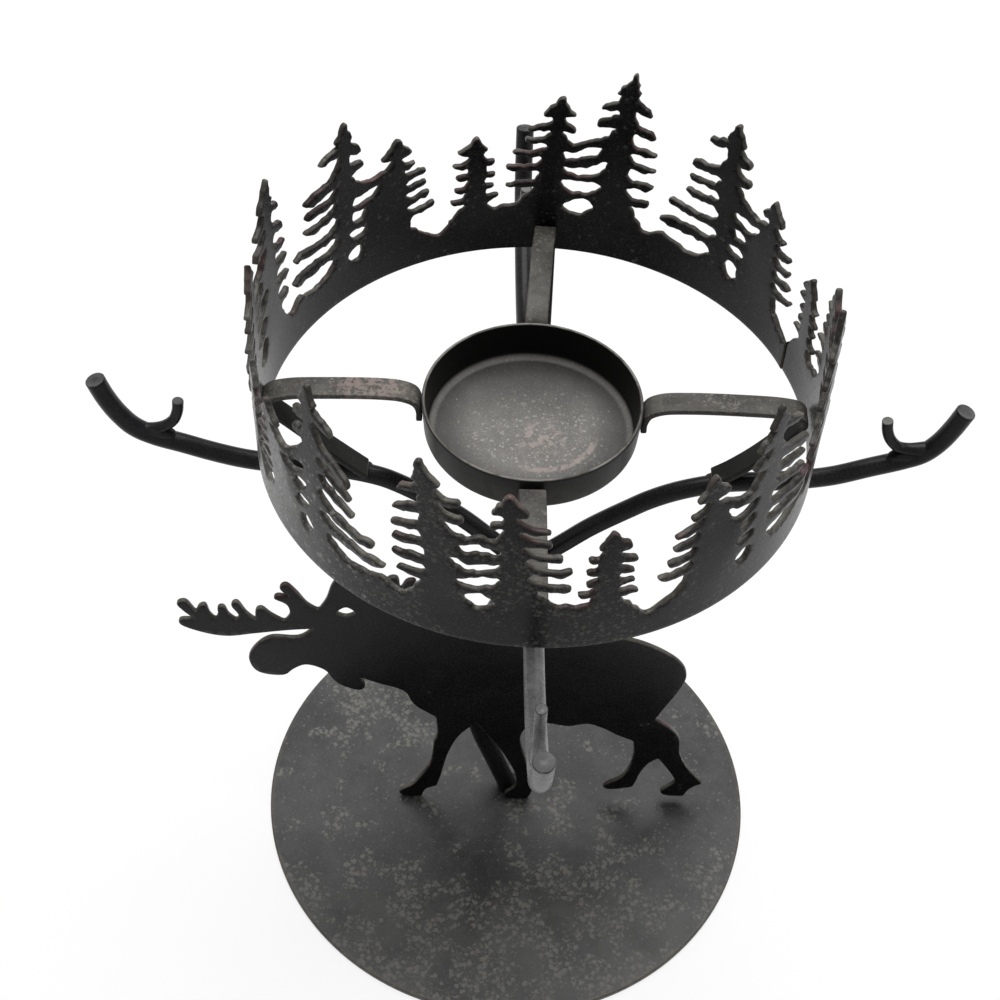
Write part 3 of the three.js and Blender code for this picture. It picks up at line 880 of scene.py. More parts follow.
@dataclass
class Base:
    """The round disc that the holder stands on."""

    radius: float = 58.3
    thickness: float = 1.5
    edge: float = 0.4
    edge_wear: float = 0.8
    segments: int = 180
    off_centre: float = -0.47

    def build(self, finishes: Finishes) -> None:
        """Makes the base, with rounded edges."""
        inner, top = self.radius - self.edge, self.thickness - self.edge
        under = corner_arc((inner, self.edge), self.edge, -90, 0, 4)
        rim = [*under, *corner_arc((inner, top), self.edge, 0, 90, 4)]
        profile = [(0.0, 0.0), (inner - 1.0, 0.0), *((x, z, self.edge_wear) for x, z in rim)]
        profile += [(self.radius * share, self.thickness) for share in (0.98, 0.75, 0.5, 0.25, 0.0)]
        placed = lathe(profile, self.segments).moved((self.off_centre, 0.0, 0.0))
        add_piece("base_disc", placed, "base_plate", finishes.base)


@dataclass
class Moose:
    """The flat moose, cut from plate.

    Its outline is a chain of smooth [along, up] runs. Each run starts at the sharp corner that ends the one
    before, and lists the knots after it.
    """

    thickness: float = 1.2
    edge: float = 0.3
    plane_y: float = -1.6
    lift: float = 0.9
    hoof_line: float = 1.5
    hoof_rise: float = 8.0
    per_span: int = 8
    step: float = 0.4
    softened: int = 2
    grid: float = 2.5
    antlers: tuple[Knots, ...] = (
        ((-50.7, 68.2), (-58, 66.8), (-64, 65.7), (-69, 66.8), (-73.9, 69.7), (-73.9, 71.2),
         (-70.4, 71.6)),
        ((-72.6, 74.3), (-73.9, 77), (-72, 77.9), (-70, 74.1)),
        ((-69.2, 76.2), (-67.8, 76.8), (-67, 73.4), (-66, 71.6)),
        ((-65.3, 73.6), (-65.2, 75.9), (-63.9, 76.2), (-62.9, 73.2), (-61.5, 71.4)),
        ((-60.9, 73.2), (-62.3, 76.9), (-61, 78), (-59, 73.8), (-57.4, 71.7)),
        ((-57, 75.4), (-55.9, 76), (-53.9, 73.6), (-51.2, 71.2)),
        ((-49.9, 73.9), (-50.4, 77.3), (-53.1, 79.4), (-52.2, 80.4), (-49.6, 79.8)),
        ((-51.6, 83), (-50.2, 84.3), (-47.9, 81.4), (-45.9, 77.5), (-43.7, 75.4)),
        ((-41.9, 79.2), (-40.4, 84.4), (-38.8, 86.8), (-37.2, 85.9), (-36.4, 82.6)),
        ((-34, 84.2), (-32.5, 87.6), (-30.7, 87.4), (-30.3, 83.3)),
        ((-28.4, 87), (-26.6, 87.2), (-26, 83.4)),
        ((-24.6, 86.2), (-22.8, 86.4), (-22.6, 83)),
        ((-18.4, 84.6), (-17.2, 83), (-22.3, 78.4), (-28.6, 76.2)),
    )
    body: tuple[Knots, ...] = (
        ((-20, 73.6), (-9, 74.2), (0, 72.6), (12, 69.6), (25.5, 66.5), (33, 62), (36.9, 57.8),
         (38.2, 54), (37.6, 49.4), (34.9, 42), (32.9, 36.4)),
    )
    hind_legs: tuple[Knots, ...] = (
        ((37.6, 31.8), (39.5, 28.2), (40.2, 22.4), (42.9, 15.6), (47.2, 8.9)),
        ((45, 7.4), (43.8, 5.6), (43.2, 3.6)),
        ((38.4, 4), (37.2, 5.2), (38.8, 7.4), (40.3, 9.6), (38.2, 14.6), (35.2, 19.8)),
        ((33.1, 17.4), (31.4, 12.6), (30.9, 9.6), (30.2, 7)),
        ((24.4, 6), (22.9, 6.9), (24.4, 8.6), (26.8, 10.6), (28.6, 15.6), (29.1, 21.6), (28.6, 27.1)),
    )
    belly: tuple[Knots, ...] = (
        ((24.9, 29.3), (20.9, 32.3), (17.3, 34), (12.9, 32.9), (9.1, 33.7), (4.4, 34.8)),
    )
    front_legs: tuple[Knots, ...] = (
        ((1.9, 28.6), (3.4, 18.5), (4.6, 11.6), (5.6, 4.6), (4.6, 1.5)),
        ((-0.6, 1.5),),
        ((-1.1, 3.4), (1.3, 6.4), (1.4, 10.6), (-1.3, 19), (-4.6, 26.2), (-8.8, 33.6)),
        ((-12.6, 28.2), (-15.2, 20.3), (-17, 9.8), (-17.8, 6.2)),
        ((-20.4, 5), (-21.4, 2)),
        ((-25.8, 1.9), (-27.1, 3.2), (-26.4, 4.6), (-23.8, 6.6), (-21.6, 10.6), (-19.7, 15),
         (-18.9, 21), (-18.6, 25.6), (-17.9, 28.4), (-18.2, 35.7)),
    )
    head: tuple[Knots, ...] = (
        ((-23.2, 40.6), (-25.6, 46), (-31.6, 49), (-35.4, 51.1)),
        ((-34.3, 47.6), (-35.2, 46.1), (-39.3, 47.6), (-41.6, 50.2), (-43.2, 53.6), (-47.3, 55.6),
         (-50, 54), (-52.4, 51.5), (-58.2, 52.6), (-59.9, 57.6), (-58.1, 62.2), (-54.6, 65.5),
         (-48.5, 65.6), (-45, 68.9)),
    )
    eyelet: Knots = ((-39.7, 74.7), (-37.8, 73.5), (-35.9, 74.9), (-37.7, 76.7))

    def outline(self) -> np.ndarray:
        """The moose's outline, its sharp corners softened as the coat softens them."""
        runs = [*self.antlers, *self.body, *self.hind_legs, *self.belly, *self.front_legs, *self.head]
        traced, corner = [], runs[-1][-1]
        for run in runs:
            traced.append(smooth_line([corner, *run], self.per_span)[:-1] if len(run) > 1 else [corner])
            corner = run[-1]
        loop = evenly(np.vstack(traced), self.step, closed=True)
        for _ in range(self.softened):
            loop = 0.5 * loop + 0.25 * (np.roll(loop, 1, axis=0) + np.roll(loop, -1, axis=0))
        return loop

    def build(self, finishes: Finishes) -> None:
        """Makes the moose."""
        hole = evenly(smooth_line(self.eyelet, self.per_span, closed=True), self.step, closed=True)
        plate = cut_plate([self.outline(), hole], self.thickness, self.edge, self.grid)
        along, up, out = plate.points.T
        up = up + self.lift * np.clip((up - self.hoof_line) / self.hoof_rise, 0, 1)
        placed = Shell(np.stack([along, self.plane_y - out, up], axis=1), plate.faces, plate.wear)
        add_piece("moose_silhouette", placed, "moose_plate", finishes.moose)


@dataclass
class Trunk:
    """The leaning post behind the moose, with the beads of weld at its foot and its head."""

    radius: float = 2.25
    sides: int = 36
    base_top: float = 1.5
    line: Knots = (
        (0.4, 1.6, 0), (-3.6, 1.6, 13), (-7.9, 1.6, 27.5), (-10.2, 1.6, 42), (-9.6, 1.7, 56),
        (-6.4, 1.7, 70), (-2.4, 1, 82), (-0.2, 0.1, 90), (0, 0, 94.4),
    )
    step: float = 0.8
    chamfer: float = 0.2
    sunk: float = 0.6
    hub: Sequence[float] = (0.0, 0.0, 95.2)
    hub_size: Sequence[float] = (4.5, 4.5, 3.5)
    foot_size: Sequence[float] = (3.5, 2.6, 1.5)
    foot_back: float = 0.9
    foot_up: float = 0.1

    def build(self, finishes: Finishes) -> None:
        """Makes the post and its two welds."""
        path = evenly(smooth_line(self.line, 12), self.step)
        path = path[path[:, 2] > self.base_top - self.sunk]
        post = sweep(path, round_section(self.radius, self.sides), self.chamfer)
        add_piece("trunk_rod", post, "trunk_post", finishes.rod)
        foot_x, foot_y, _ = self.line[0]
        bed = (foot_x, foot_y + self.foot_back, self.base_top + self.foot_up)
        foot = bead(bed, self.foot_size, seed=3.1)
        foot.points[:, 2] = np.maximum(foot.points[:, 2], self.base_top)
        add_piece("trunk_foot_bead", foot, "trunk_foot_weld", finishes.weld)
        hub = bead(self.hub, self.hub_size, seed=7.7)
        add_piece("hub_bead", hub, "hub_weld", finishes.weld)


@dataclass
class Branch:
    """One arm with its twig hook, its strap and their welds.

    A line lists knots as [distance from the holder's axis, height].
    """

    side: Side
    turn: float = 0.0
    strap_turn: float = 0.0
    strap_slide: tuple[float, float] = (0.0, 0.0)
    strap_leg: float = 21.4
    strap_fold: tuple[float, float] = (50.3, 137.2)
    strap_end: float = 32.3
    strap_sag: float = 1.6
    rod_radius: float = 1.93
    twig_radius: float = 1.1
    strap_width: float = 5.0
    strap_thickness: float = 1.2
    arm_line: Knots = (
        (3.7, 95), (7.5, 99.2), (13, 105), (20.5, 111.3), (26.3, 115.2), (30, 117), (38, 118.9), (50, 119.7),
        (56.3, 120.6), (62, 122.2), (68, 124.4), (73.5, 126.4), (77, 128.6), (79.6, 132.2), (81.2, 136.6),
        (82.4, 141.4),
    )
    twig_line: Knots = (
        (75.6, 127.7), (73.2, 128.2), (71, 129.2), (69.2, 130.9), (68.2, 133.4), (67.8, 136.2),
    )
    twig_bed: Sequence[float] = (72.2, 0.0, 127.5)
    twig_bead: Sequence[float] = (3.4, 1.6, 1.5)
    strap_bead: Sequence[float] = (1.8, 1.7, 0.8)
    bead_past: float = 0.2
    bead_aside: float = 0.7
    bead_sunk: float = 0.5

    @property
    def strap_line(self) -> Knots:
        """The strap from the cup's wall over to the ring, down and back to the arm."""
        leg, fold = self.strap_leg, np.array(self.strap_fold)
        foot = np.array((self.strap_end, self.arm_top(self.strap_end) + self.strap_thickness / 2))
        down = [
            fold + (foot - fold) * share - (0, 4 * self.strap_sag * share * (1 - share))
            for share in (0.2, 0.5, 0.8)
        ]
        return (
            (leg, 134.5), (leg, 136.7), (leg + 0.8, 138.8), (leg + 3.1, 140.1), (29, 140.7), (39, 140.9),
            (47.4, 140.6), (50, 139.9), (51, 138.6), fold, *down, foot,
        )

    def arm_top(self, reach: float) -> float:
        """Height of the arm's upper side at a distance from the axis."""
        return float(np.interp(reach, *np.transpose(self.arm_line))) + self.rod_radius

    @staticmethod
    def upright(line: Knots, step: float) -> np.ndarray:
        """A smooth line in the arm's own plane, as points in space."""
        flat = evenly(smooth_line(line, 12), step)
        return np.stack([flat[:, 0], np.zeros(len(flat)), flat[:, 1]], axis=1)

    def add(self, what: str, shell: Shell, node: str, slot: Slot, finish: bpy.types.Material) -> None:
        """Turns a piece to this side and adds it."""
        name, solid = f"{what}_{self.side.label}", f"{node}_{self.side.label}"
        add_piece(name, shell.turned(self.side.value + self.turn), solid, finish)

    def build(self, finishes: Finishes) -> None:
        """Makes the arm and what is welded to it."""
        section = round_section(self.rod_radius, 32)
        arm = sweep(self.upright(self.arm_line, step=0.8), section, chamfer=0.22)
        # The front arm and its twig take the paler copy of the rod coat, which is painted light.
        rod = finishes.painted_light_rod if self.side is Side.FRONT else finishes.rod
        self.add("arm_rod", arm, "arm", Slot.CHARCOAL, rod)
        section = round_section(self.twig_radius, 24)
        twig = sweep(self.upright(self.twig_line, step=0.4), section, chamfer=0.18, flare=0.45)
        self.add("twig_rod", twig, "twig_hook", Slot.CHARCOAL, rod)
        section = flat_section(self.strap_width, self.strap_thickness, corner=0.3)
        course = self.upright(self.strap_line, step=0.6)
        start, end = self.strap_slide
        course[:, 1] = np.interp(np.linspace(0, 1, len(course)), (0, 0.45, 1), (start, start, end))
        strap = sweep(course, section, chamfer=0.25)
        self.add("strap_bar", strap.turned(self.strap_turn - self.turn), "strap", Slot.WORN, finishes.strap)
        seed = self.side.value / 37
        height = self.arm_top(self.strap_end) - self.bead_sunk
        bed = (self.strap_end + self.bead_past, self.bead_aside * end, height)
        strap_weld = bead(bed, self.strap_bead, seed, tilt=-17)
        self.add("strap_bead", strap_weld, "strap_weld", Slot.WELD, finishes.weld)
        twig_weld = bead(self.twig_bed, self.twig_bead, seed + 5, tilt=-20)
        self.add("twig_bead", twig_weld, "twig_weld", Slot.WELD, finishes.weld)


BRANCHES = (
    Branch(
        Side.RIGHT, turn=-1.1, strap_turn=-2.2, strap_slide=(0.43, 0.2), strap_leg=20.8, strap_end=35.8,
        arm_line=(
            (3.7, 94.5), (7.5, 98.3), (13, 103.9), (20.5, 110.1), (24.2, 112.9), (29.9, 116), (38, 118.6),
            (50, 120), (58.9, 121.8), (66.2, 124.8), (72, 127.2), (75.6, 129.2), (78, 132.3),
            (79.8, 136.4), (81.3, 141.2),
        ),
        twig_line=((75.7, 130.4), (72.4, 130.4), (70.3, 131), (68.5, 133), (67.5, 135.4), (67, 138)),
        twig_bed=(72.0, 0.0, 128.8),
    ),
    Branch(Side.BACK, turn=0.8, strap_turn=-4.5, strap_slide=(1.3, 0.5), strap_width=4.4),
    Branch(
        Side.LEFT, turn=-1.3, strap_turn=1.4, strap_slide=(-2.1, -0.4), strap_leg=22.0, strap_sag=0.3,
        arm_line=(*Branch.arm_line[:14], (81.5, 136.4), (82.9, 141.0)),
    ),
    Branch(
        Side.FRONT, strap_turn=-0.5, strap_slide=(-0.73, -0.3),
        arm_line=(
            *Branch.arm_line[:11], (72.8, 126.6), (76.2, 128.6), (78.4, 132), (79.8, 136.4), (80.9, 141.4),
        ),
        twig_line=((73, 128), (71.4, 128.6), (70, 129.8), (68.8, 132), (68.2, 134.6), (68.4, 137.8)),
    ),
)


@dataclass
class Cup:
    """The shallow pressed dish for one tealight."""

    rim_radius: float = 20.95
    flare: float = 0.4
    rim_z: float = 140.5
    height: float = 8.8
    wall: float = 0.7
    corner: float = 2.4
    foot_wear: float = 0.2
    segments: int = 160
    off_centre: float = -0.58

    def build(self, finishes: Finishes) -> None:
        """Makes the cup."""
        foot, floor = self.rim_radius - self.flare, self.rim_z - self.height
        lip, below_lip = self.wall / 2, self.rim_z - self.wall
        turn = (foot - self.corner, floor + self.corner)
        rim = corner_arc((self.rim_radius - lip, self.rim_z - lip), lip, 0, 180, 6)
        profile = [
            (0.0, floor), (foot * 0.5, floor),
            *((x, z, self.foot_wear) for x, z in corner_arc(turn, self.corner, -90, 0, 8)),
            (self.rim_radius, below_lip),
            *((x, z, max(0.0, 1 - 2 * (self.rim_z - z) / lip)) for x, z in rim),
            (self.rim_radius - self.wall, below_lip),
            *corner_arc(turn, self.corner - self.wall, 0, -90, 8),
            *((foot * share, floor + self.wall) for share in (0.6, 0.3, 0.0)),
        ]
        placed = lathe(profile, self.segments).moved((self.off_centre, 0.0, 0.0))
        add_piece("tealight_cup", placed, "candle_cup", finishes.cup)


@dataclass(frozen=True)
class Finger:
    """One branch of a pine, as a wavy finger of plate.

    Attributes:
        reach: From the tree's axis to the finger's tip.
        tip: Height of its tip above the ring's lower edge.
        root: Height of the middle of its root.
        thick: Its thickness halfway.
        sag: How far its middle hangs below a straight line.
    """

    reach: float
    tip: float
    root: float
    thick: float = 1.3
    sag: float = 0.25

    def contour(self, root_at: float) -> list[tuple[float, float]]:
        """The finger's edge from the upper side of its root round the tip to the lower side.

        Args:
            root_at: Distance from the tree's axis to the finger's root.

        Returns:
            Knots as [away from the axis, height].
        """
        length = self.reach - root_at
        half = self.thick / 2
        slope = (self.tip - self.root) / length

        def at(share: float, side: float) -> tuple[float, float]:
            """A point beside the finger's middle line."""
            fat = 1.3 - 0.75 * share + 0.45 * share * share
            wave = 1 + 0.1 * math.sin(9 * share + 2.7 * self.reach + side)
            height = self.root + (self.tip - self.root) * share - 4 * self.sag * share * (1 - share)
            return root_at + length * share - side * half * slope * fat, height + side * half * fat * wave

        end = max(1 - half / length, 0.55)
        stops = [share for share in (0.1, 0.36, 0.68) if share < end - 0.12]
        round_tip = [at(end, 0.9), (self.reach - 0.12 * half, self.tip + 0.3 * half),
                     (self.reach - 0.12 * half, self.tip - 0.3 * half), at(end, -0.9)]
        return [*(at(share, 1) for share in stops), *round_tip, *(at(share, -1) for share in stops[::-1])]


@dataclass(frozen=True)
class Pine:
    """One pine tree of the pattern, by heights above the ring's lower edge and widths from its own axis.

    Attributes:
        at: The tree's axis, in degrees from the valley that starts its quarter.
        top: Height of its tip.
        brim: Lower corners of its head as [away, height], left and right.
        neck: Half widths under its head, left and right.
        left_flank: Half widths of its left side as [height, half width] from the top down.
        right_flank: The same for its right side.
        left: The fingers on its left, from the top down.
        right: The fingers on its right.
        before: The ground from the last tree up to this one, as [along from the axis, height].
        after: The ground from this tree on.
        openings: Closed openings beside the tree.
    """

    at: float
    top: float
    brim: tuple[tuple[float, float], tuple[float, float]]
    neck: tuple[float, float]
    left_flank: Knots = ()
    right_flank: Knots = ()
    left: tuple[Finger, ...] = ()
    right: tuple[Finger, ...] = ()
    before: Knots = ()
    after: Knots = ()
    openings: tuple[Knots, ...] = ()

    def head(self, sign: int) -> list[tuple[float, float]]:
        """One side of the head from the tip down to the neck."""
        side = 0 if sign < 0 else 1
        x, z = self.brim[side]
        middle = (0.3 + 0.3 * x, self.top - 0.45 * (self.top - z))
        return [(0.55, self.top - 0.35), middle, (x - 0.35, z + 0.5), (x, z - 0.1), (x - 0.5, z - 0.6),
                (self.neck[side], z - 1.0)]

    def side(self, sign: int) -> list[tuple[float, float]]:
        """One side of the tree below its head, from the top down."""
        flank = np.asarray(self.left_flank if sign < 0 else self.right_flank, float)
        fingers = self.left if sign < 0 else self.right
        knots: list[tuple[float, float]] = []
        for index, finger in enumerate(fingers):
            width = float(np.interp(finger.root, flank[::-1, 0], flank[::-1, 1]))
            knots += finger.contour(width)
            if index + 1 < len(fingers):
                below = fingers[index + 1]
                crook = (finger.root - 0.6 * finger.thick + below.root + 0.6 * below.thick) / 2
                knots.append((float(np.interp(crook, flank[::-1, 0], flank[::-1, 1])) - 0.15, crook))
        return knots

    def skyline(self) -> list[tuple[float, float]]:
        """The tree's whole edge from left to right, measured from its axis."""
        left = [(-x, z) for x, z in [*self.head(-1), *self.side(-1)]]
        right = [*self.head(1), *self.side(1)]
        return [*self.before, *left[::-1], (0.0, self.top), *right, *self.after]


@dataclass
class TreeRing:
    """The pierced band: five pines, cut four times along one strip, which is rolled and butt-welded.

    The bends say how each tree of each quarter was bent by hand, as its shift, twist, lean and drop.
    """

    radius: float = 53.0
    thickness: float = 1.2
    bottom: float = 133.0
    lower_edge: float = 0.2
    edge: float = 0.34
    valley: float = 6.1
    first_valley: float = 20.7
    seam: float = 19.0
    seam_step: float = 0.25
    repeats: int = 4
    gap: float = 0.12
    spring: float = 0.9
    plateau: float = 4.0
    tilt: float = 0.0094
    closer: float = 0.1
    off_centre: float = 0.22
    wave: float = 1.4
    wander: float = 0.5
    step: float = 0.42
    lower_step: float = 1.2
    end_step: float = 0.8
    grid: float = 1.6
    stiff: float = 8.0
    free_from: float = 10.0
    free_over: float = 8.0
    lean_curve: float = 1.3
    seam_fade: float = 4.0
    bends: tuple[Knots, ...] = (
        ((-0.4, 0, -0.9, 0.3), (-0.4, 0.6, -0.2, 0.2), (0.2, 0.4, -0.5, 0), (1.0, -0.3, -1.0, 0),
         (1.0, 0.2, 0.4, 0)),
        ((1.6, -0.4, -0.9, 0), (2.2, -0.5, -1.2, 0.3), (2.4, 1.2, 0, 0.4), (4.2, 0.4, -0.2, 0),
         (2, 0, 0, 0)),
        ((-0.8, -0.5, 1.6, 0.4), (-2.1, -2.5, -1.0, 0.5), (-0.5, -1.0, 2.1, 1.2), (-1.0, -0.8, 0, 0.3),
         (-0.5, 0, -0.3, 0)),
        ((-0.3, 0.9, -1.3, -0.2), (-0.6, 1.1, -0.5, 0), (0.2, 1.7, -0.9, 0), (0, 1.6, -1.1, 0),
         (-0.4, 0.4, -1.2, 0)),
    )
    pines: tuple[Pine, ...] = (
        Pine(
            at=10.5, top=34.2, brim=((3.2, 30.1), (3.3, 30.1)), neck=(1.05, 1.1),
            left_flank=((28, 1.1), (25, 2.1), (16, 2.6), (11.4, 3.5)),
            left=(Finger(4.1, 26.9, 26.7), Finger(6.7, 24.1, 23.8), Finger(6.9, 21.0, 20.6),
                  Finger(7.6, 18.0, 17.3), Finger(8.9, 14.9, 13.9)),
            before=((-7.2, 7.5), (-4.6, 9.4), (-3.5, 10.9)),
            after=((1.9, 27.6), (3.7, 27.2), (5.4, 26.6), (8.2, 27.5)),
            openings=(
                ((3.8, 24.9), (6.5, 24.4), (10.2, 24.6), (10.4, 23.2), (7.5, 21.8), (4.9, 22.7)),
                ((6.9, 19.6), (8.3, 20.9), (10.4, 20.7), (10.3, 19.1), (8.2, 18.2)),
                ((6.9, 15.2), (8.3, 16.6), (11, 16.4), (10.6, 15), (8.1, 14.2)),
                ((7.9, 10.4), (8.6, 12), (10.6, 12.2), (11.5, 10.6), (10.2, 8.4), (8.7, 8.6)),
            ),
        ),
        Pine(
            at=24.2, top=43.8, brim=((2.2, 39.9), (2.3, 40.3)), neck=(1.3, 1.5),
            left_flank=((38, 1.5), (34, 1.4), (28, 1.9)),
            right_flank=((38, 1.6), (33, 2.1), (27, 2.5), (21, 1.8), (16, 1.8), (12.5, 2.8)),
            left=(Finger(4.5, 35.9, 36.9, 2.0, 0.0), Finger(5.0, 32.2, 32.3, 2.0, 0.0)),
            right=(Finger(6.2, 37.5, 38.5, 1.5, 0.1), Finger(9.8, 30.0, 32.0, 2.0, 0.4),
                   Finger(9.7, 26.8, 27.6), Finger(10.2, 23.2, 24.1, 1.4, 0.5),
                   Finger(13.8, 19.0, 19.0, 1.6, 0.7), Finger(15.0, 14.1, 14.2, 2.0, 0.2)),
            after=((2.7, 11.8), (4.4, 9.9), (7, 8.8), (9.4, 8.9), (12.1, 9.8)),
        ),
        Pine(
            at=48.4, top=46.2, brim=((1.3, 41.7), (3.5, 41.3)), neck=(0.8, 2.6),
            left_flank=((39, 0.7), (26, 0.4), (18, 0.1), (13, 1.6)),
            right_flank=((38, 2.8), (30, 3.2)),
            left=(Finger(3.9, 37.8, 38.8, 1.5, 0.0), Finger(4.9, 32.4, 33.7, 1.6, 0.0),
                  Finger(5.4, 28.4, 29.0, 1.4), Finger(5.5, 24.6, 24.9, 1.4),
                  Finger(5.7, 20.4, 20.4, 1.4), Finger(5.1, 16.2, 15.9, 1.5)),
            right=(Finger(6.5, 37.0, 38.1, 1.3, 0.0), Finger(7.2, 32.8, 34.3, 1.7, 0.0)),
            before=((-7.9, 10.6), (-5.9, 9.2), (-4.6, 9.2), (-3.0, 10.9)),
            after=((4.9, 30.3), (7.2, 28.9), (9.4, 28.3), (11.8, 27.7)),
            openings=(
                ((5.7, 27.1), (7.6, 27.3), (10.8, 25.9), (13, 25.5), (12.6, 23.9), (9.6, 24.4), (6.9, 24.9)),
                ((4.2, 23.9), (6.2, 23.3), (8.3, 21.9), (12.9, 22.1), (12.6, 20.8), (8.2, 19.7),
                 (5.4, 21.2)),
                ((5.3, 17.7), (8, 18.4), (13.3, 18.3), (12.3, 16.4), (9.8, 15.4), (6.8, 15.8)),
                ((6.5, 12.9), (7.7, 13.9), (10.3, 13.7), (12.2, 11.8), (10, 9.9), (7.8, 10.7)),
            ),
        ),
        Pine(
            at=64.0, top=39.0, brim=((3.0, 35.0), (3.3, 35.0)), neck=(1.2, 1.4),
            left_flank=((33, 1.0), (29, 0.8)),
            right_flank=((33, 1.6), (27, 2.2), (23.5, 3.4), (19.5, 3.4), (15.5, 4.3), (12, 6.4)),
            left=(Finger(3.3, 31.2, 31.8, 1.4, 0.0),),
            right=(Finger(6.4, 31.0, 31.8), Finger(6.8, 28.0, 28.4), Finger(8.6, 24.5, 25.1),
                   Finger(10.0, 20.7, 21.4), Finger(10.0, 16.4, 17.3)),
            after=((6.3, 13.4), (7.7, 12.0), (8.6, 11.6)),
        ),
        Pine(
            at=81.6, top=29.0, brim=((2.3, 25.6), (3.5, 25.4)), neck=(1.7, 1.5),
            left_flank=((24, 2), (12, 2.4)), right_flank=((24, 1.5), (12, 2.2)),
            left=(Finger(4.1, 22.9, 22.7, 1.1, 0.1), Finger(4.1, 19.7, 19.7, 1.1, 0.1),
                  Finger(3.8, 17.0, 16.8, 1.0, 0.1), Finger(4.9, 14.3, 14.0, 1.2, 0.1)),
            right=(Finger(4.6, 22.2, 22.5, 1.1, 0.1), Finger(4.1, 19.3, 19.6, 1.1, 0.1),
                   Finger(4.3, 16.4, 16.6, 1.1, 0.1), Finger(5.4, 13.5, 13.7, 1.2, 0.1)),
            before=((-6.6, 11.7), (-5.1, 11.2), (-3.6, 10.9), (-2.7, 11.8)),
            after=((2.6, 11.7), (4.3, 10.3), (6.1, 7.6)),
        ),
    )

    @property
    def quarter(self) -> float:
        """Length of one quarter of the strip."""
        return self.radius * math.pi / 2

    def along(self, pine: Pine) -> float:
        """Where a tree's axis lies in its quarter."""
        return self.radius * math.radians(pine.at)

    @property
    def start(self) -> float:
        """Where the strip starts, from the first valley."""
        return self.radius * math.radians(self.seam - self.first_valley)

    def loops(self) -> list[np.ndarray]:
        """The strip's outline and its openings, laid flat."""
        skyline, openings = [[0.0, self.valley]], []
        for repeat in range(self.repeats):
            start = repeat * self.quarter
            for pine in self.pines:
                axis = start + self.along(pine)
                skyline += [[axis + x, z] for x, z in pine.skyline()]
                openings += [[(axis + x, z) for x, z in opening] for opening in pine.openings]
            skyline.append([start + self.quarter, self.valley])
        line = smooth_line(skyline, 4)
        whole = self.repeats * self.quarter
        first, last = self.start, self.start + whole - self.gap
        tail = line[(line[:, 0] > last) & (line[:, 0] < whole)]
        cut_height = float(np.interp(last, *line[-12:].T))
        kept = line[: len(line) - len(tail) - 1]
        track = [[(first, cut_height)], tail - (whole, 0.0), kept, [(last, cut_height)]]
        holes = [evenly(smooth_line(hole, 6, closed=True), self.step, closed=True) for hole in openings]
        cuts = [evenly(np.vstack(track), self.step), *holes]
        top, *holes = (ragged(cut, self.wave, self.wander, self.valley + 1) for cut in cuts)
        corners = [first, self.lower_edge], [last, self.lower_edge]
        lower = evenly(np.array(corners), self.lower_step)
        ends = [[corners[1], top[-1]], [top[0], corners[0]]]
        right, left = (evenly(np.array(pair), self.end_step)[:-1] for pair in ends)
        return [np.vstack([lower[:-1], right, top[:0:-1], left]), *holes]

    def bend_at(self, along: np.ndarray, axes: np.ndarray) -> list[np.ndarray]:
        """How the strip is bent by hand at some places.

        Args:
            along: The places, along the strip.
            axes: The trees' axes.

        Returns:
            For each place its shift, the tree's twist, lean and drop, and the tree's height.
        """
        whole = self.repeats * self.quarter
        values = np.vstack([np.asarray(row, float) for row in self.bends])
        tops = np.array([pine.top for pine in self.pines] * self.repeats)
        around = np.concatenate([[axes[-1] - whole], axes, [axes[0] + whole]])
        rows = np.column_stack([values, tops])
        rows = np.vstack([rows[-1:], rows, rows[:1]])
        shift = np.interp(along, around, rows[:, 0])
        left = np.clip(np.searchsorted(around, along) - 1, 0, len(around) - 2)
        room = around[left + 1] - around[left] - 2 * self.plateau
        share = np.clip((along - around[left] - self.plateau) / room, 0, 1)
        share = share**2 * (3 - 2 * share)
        return [shift, *(rows[left, i] * (1 - share) + rows[left + 1, i] * share for i in (1, 2, 3, 4))]

    def bent(self, flat: Shell) -> Shell:
        """Rolls the flat strip into the ring, with each tree as it was bent by hand."""
        along, up, out = flat.points.T
        axes = np.array([r * self.quarter + self.along(p) for r in range(self.repeats) for p in self.pines])
        shift, twist, lean, drop, height = self.bend_at(along, axes)
        away = np.abs(along[:, None] - axes[None]).min(axis=1)
        free = np.clip((up - self.free_from) / self.free_over, 0, 1)
        rise = np.clip((up - self.stiff) / (height - self.stiff), 0, None)
        angle = math.radians(self.first_valley) + (along + shift + twist * rise) / self.radius
        radius = self.radius - self.closer - self.thickness / 2 + out
        radius += self.spring * free * away**2 / (2 * self.radius)
        kink = self.seam_step * np.exp(-(along - self.start) / self.seam_fade)
        radius += lean * rise**self.lean_curve - kink
        x, y = self.off_centre + radius * np.cos(angle), radius * np.sin(angle)
        z = self.bottom + up + self.tilt * x - drop * np.clip((up - 1) / 8, 0, 1)
        return Shell(np.stack([x, y, z], axis=1), flat.faces, flat.wear)

    def build(self, finishes: Finishes) -> None:
        """Makes the ring."""
        flat = cut_plate(self.loops(), self.thickness, self.edge, self.grid)
        add_piece("tree_band", self.bent(flat), "tree_ring", finishes.plate)


# Studio


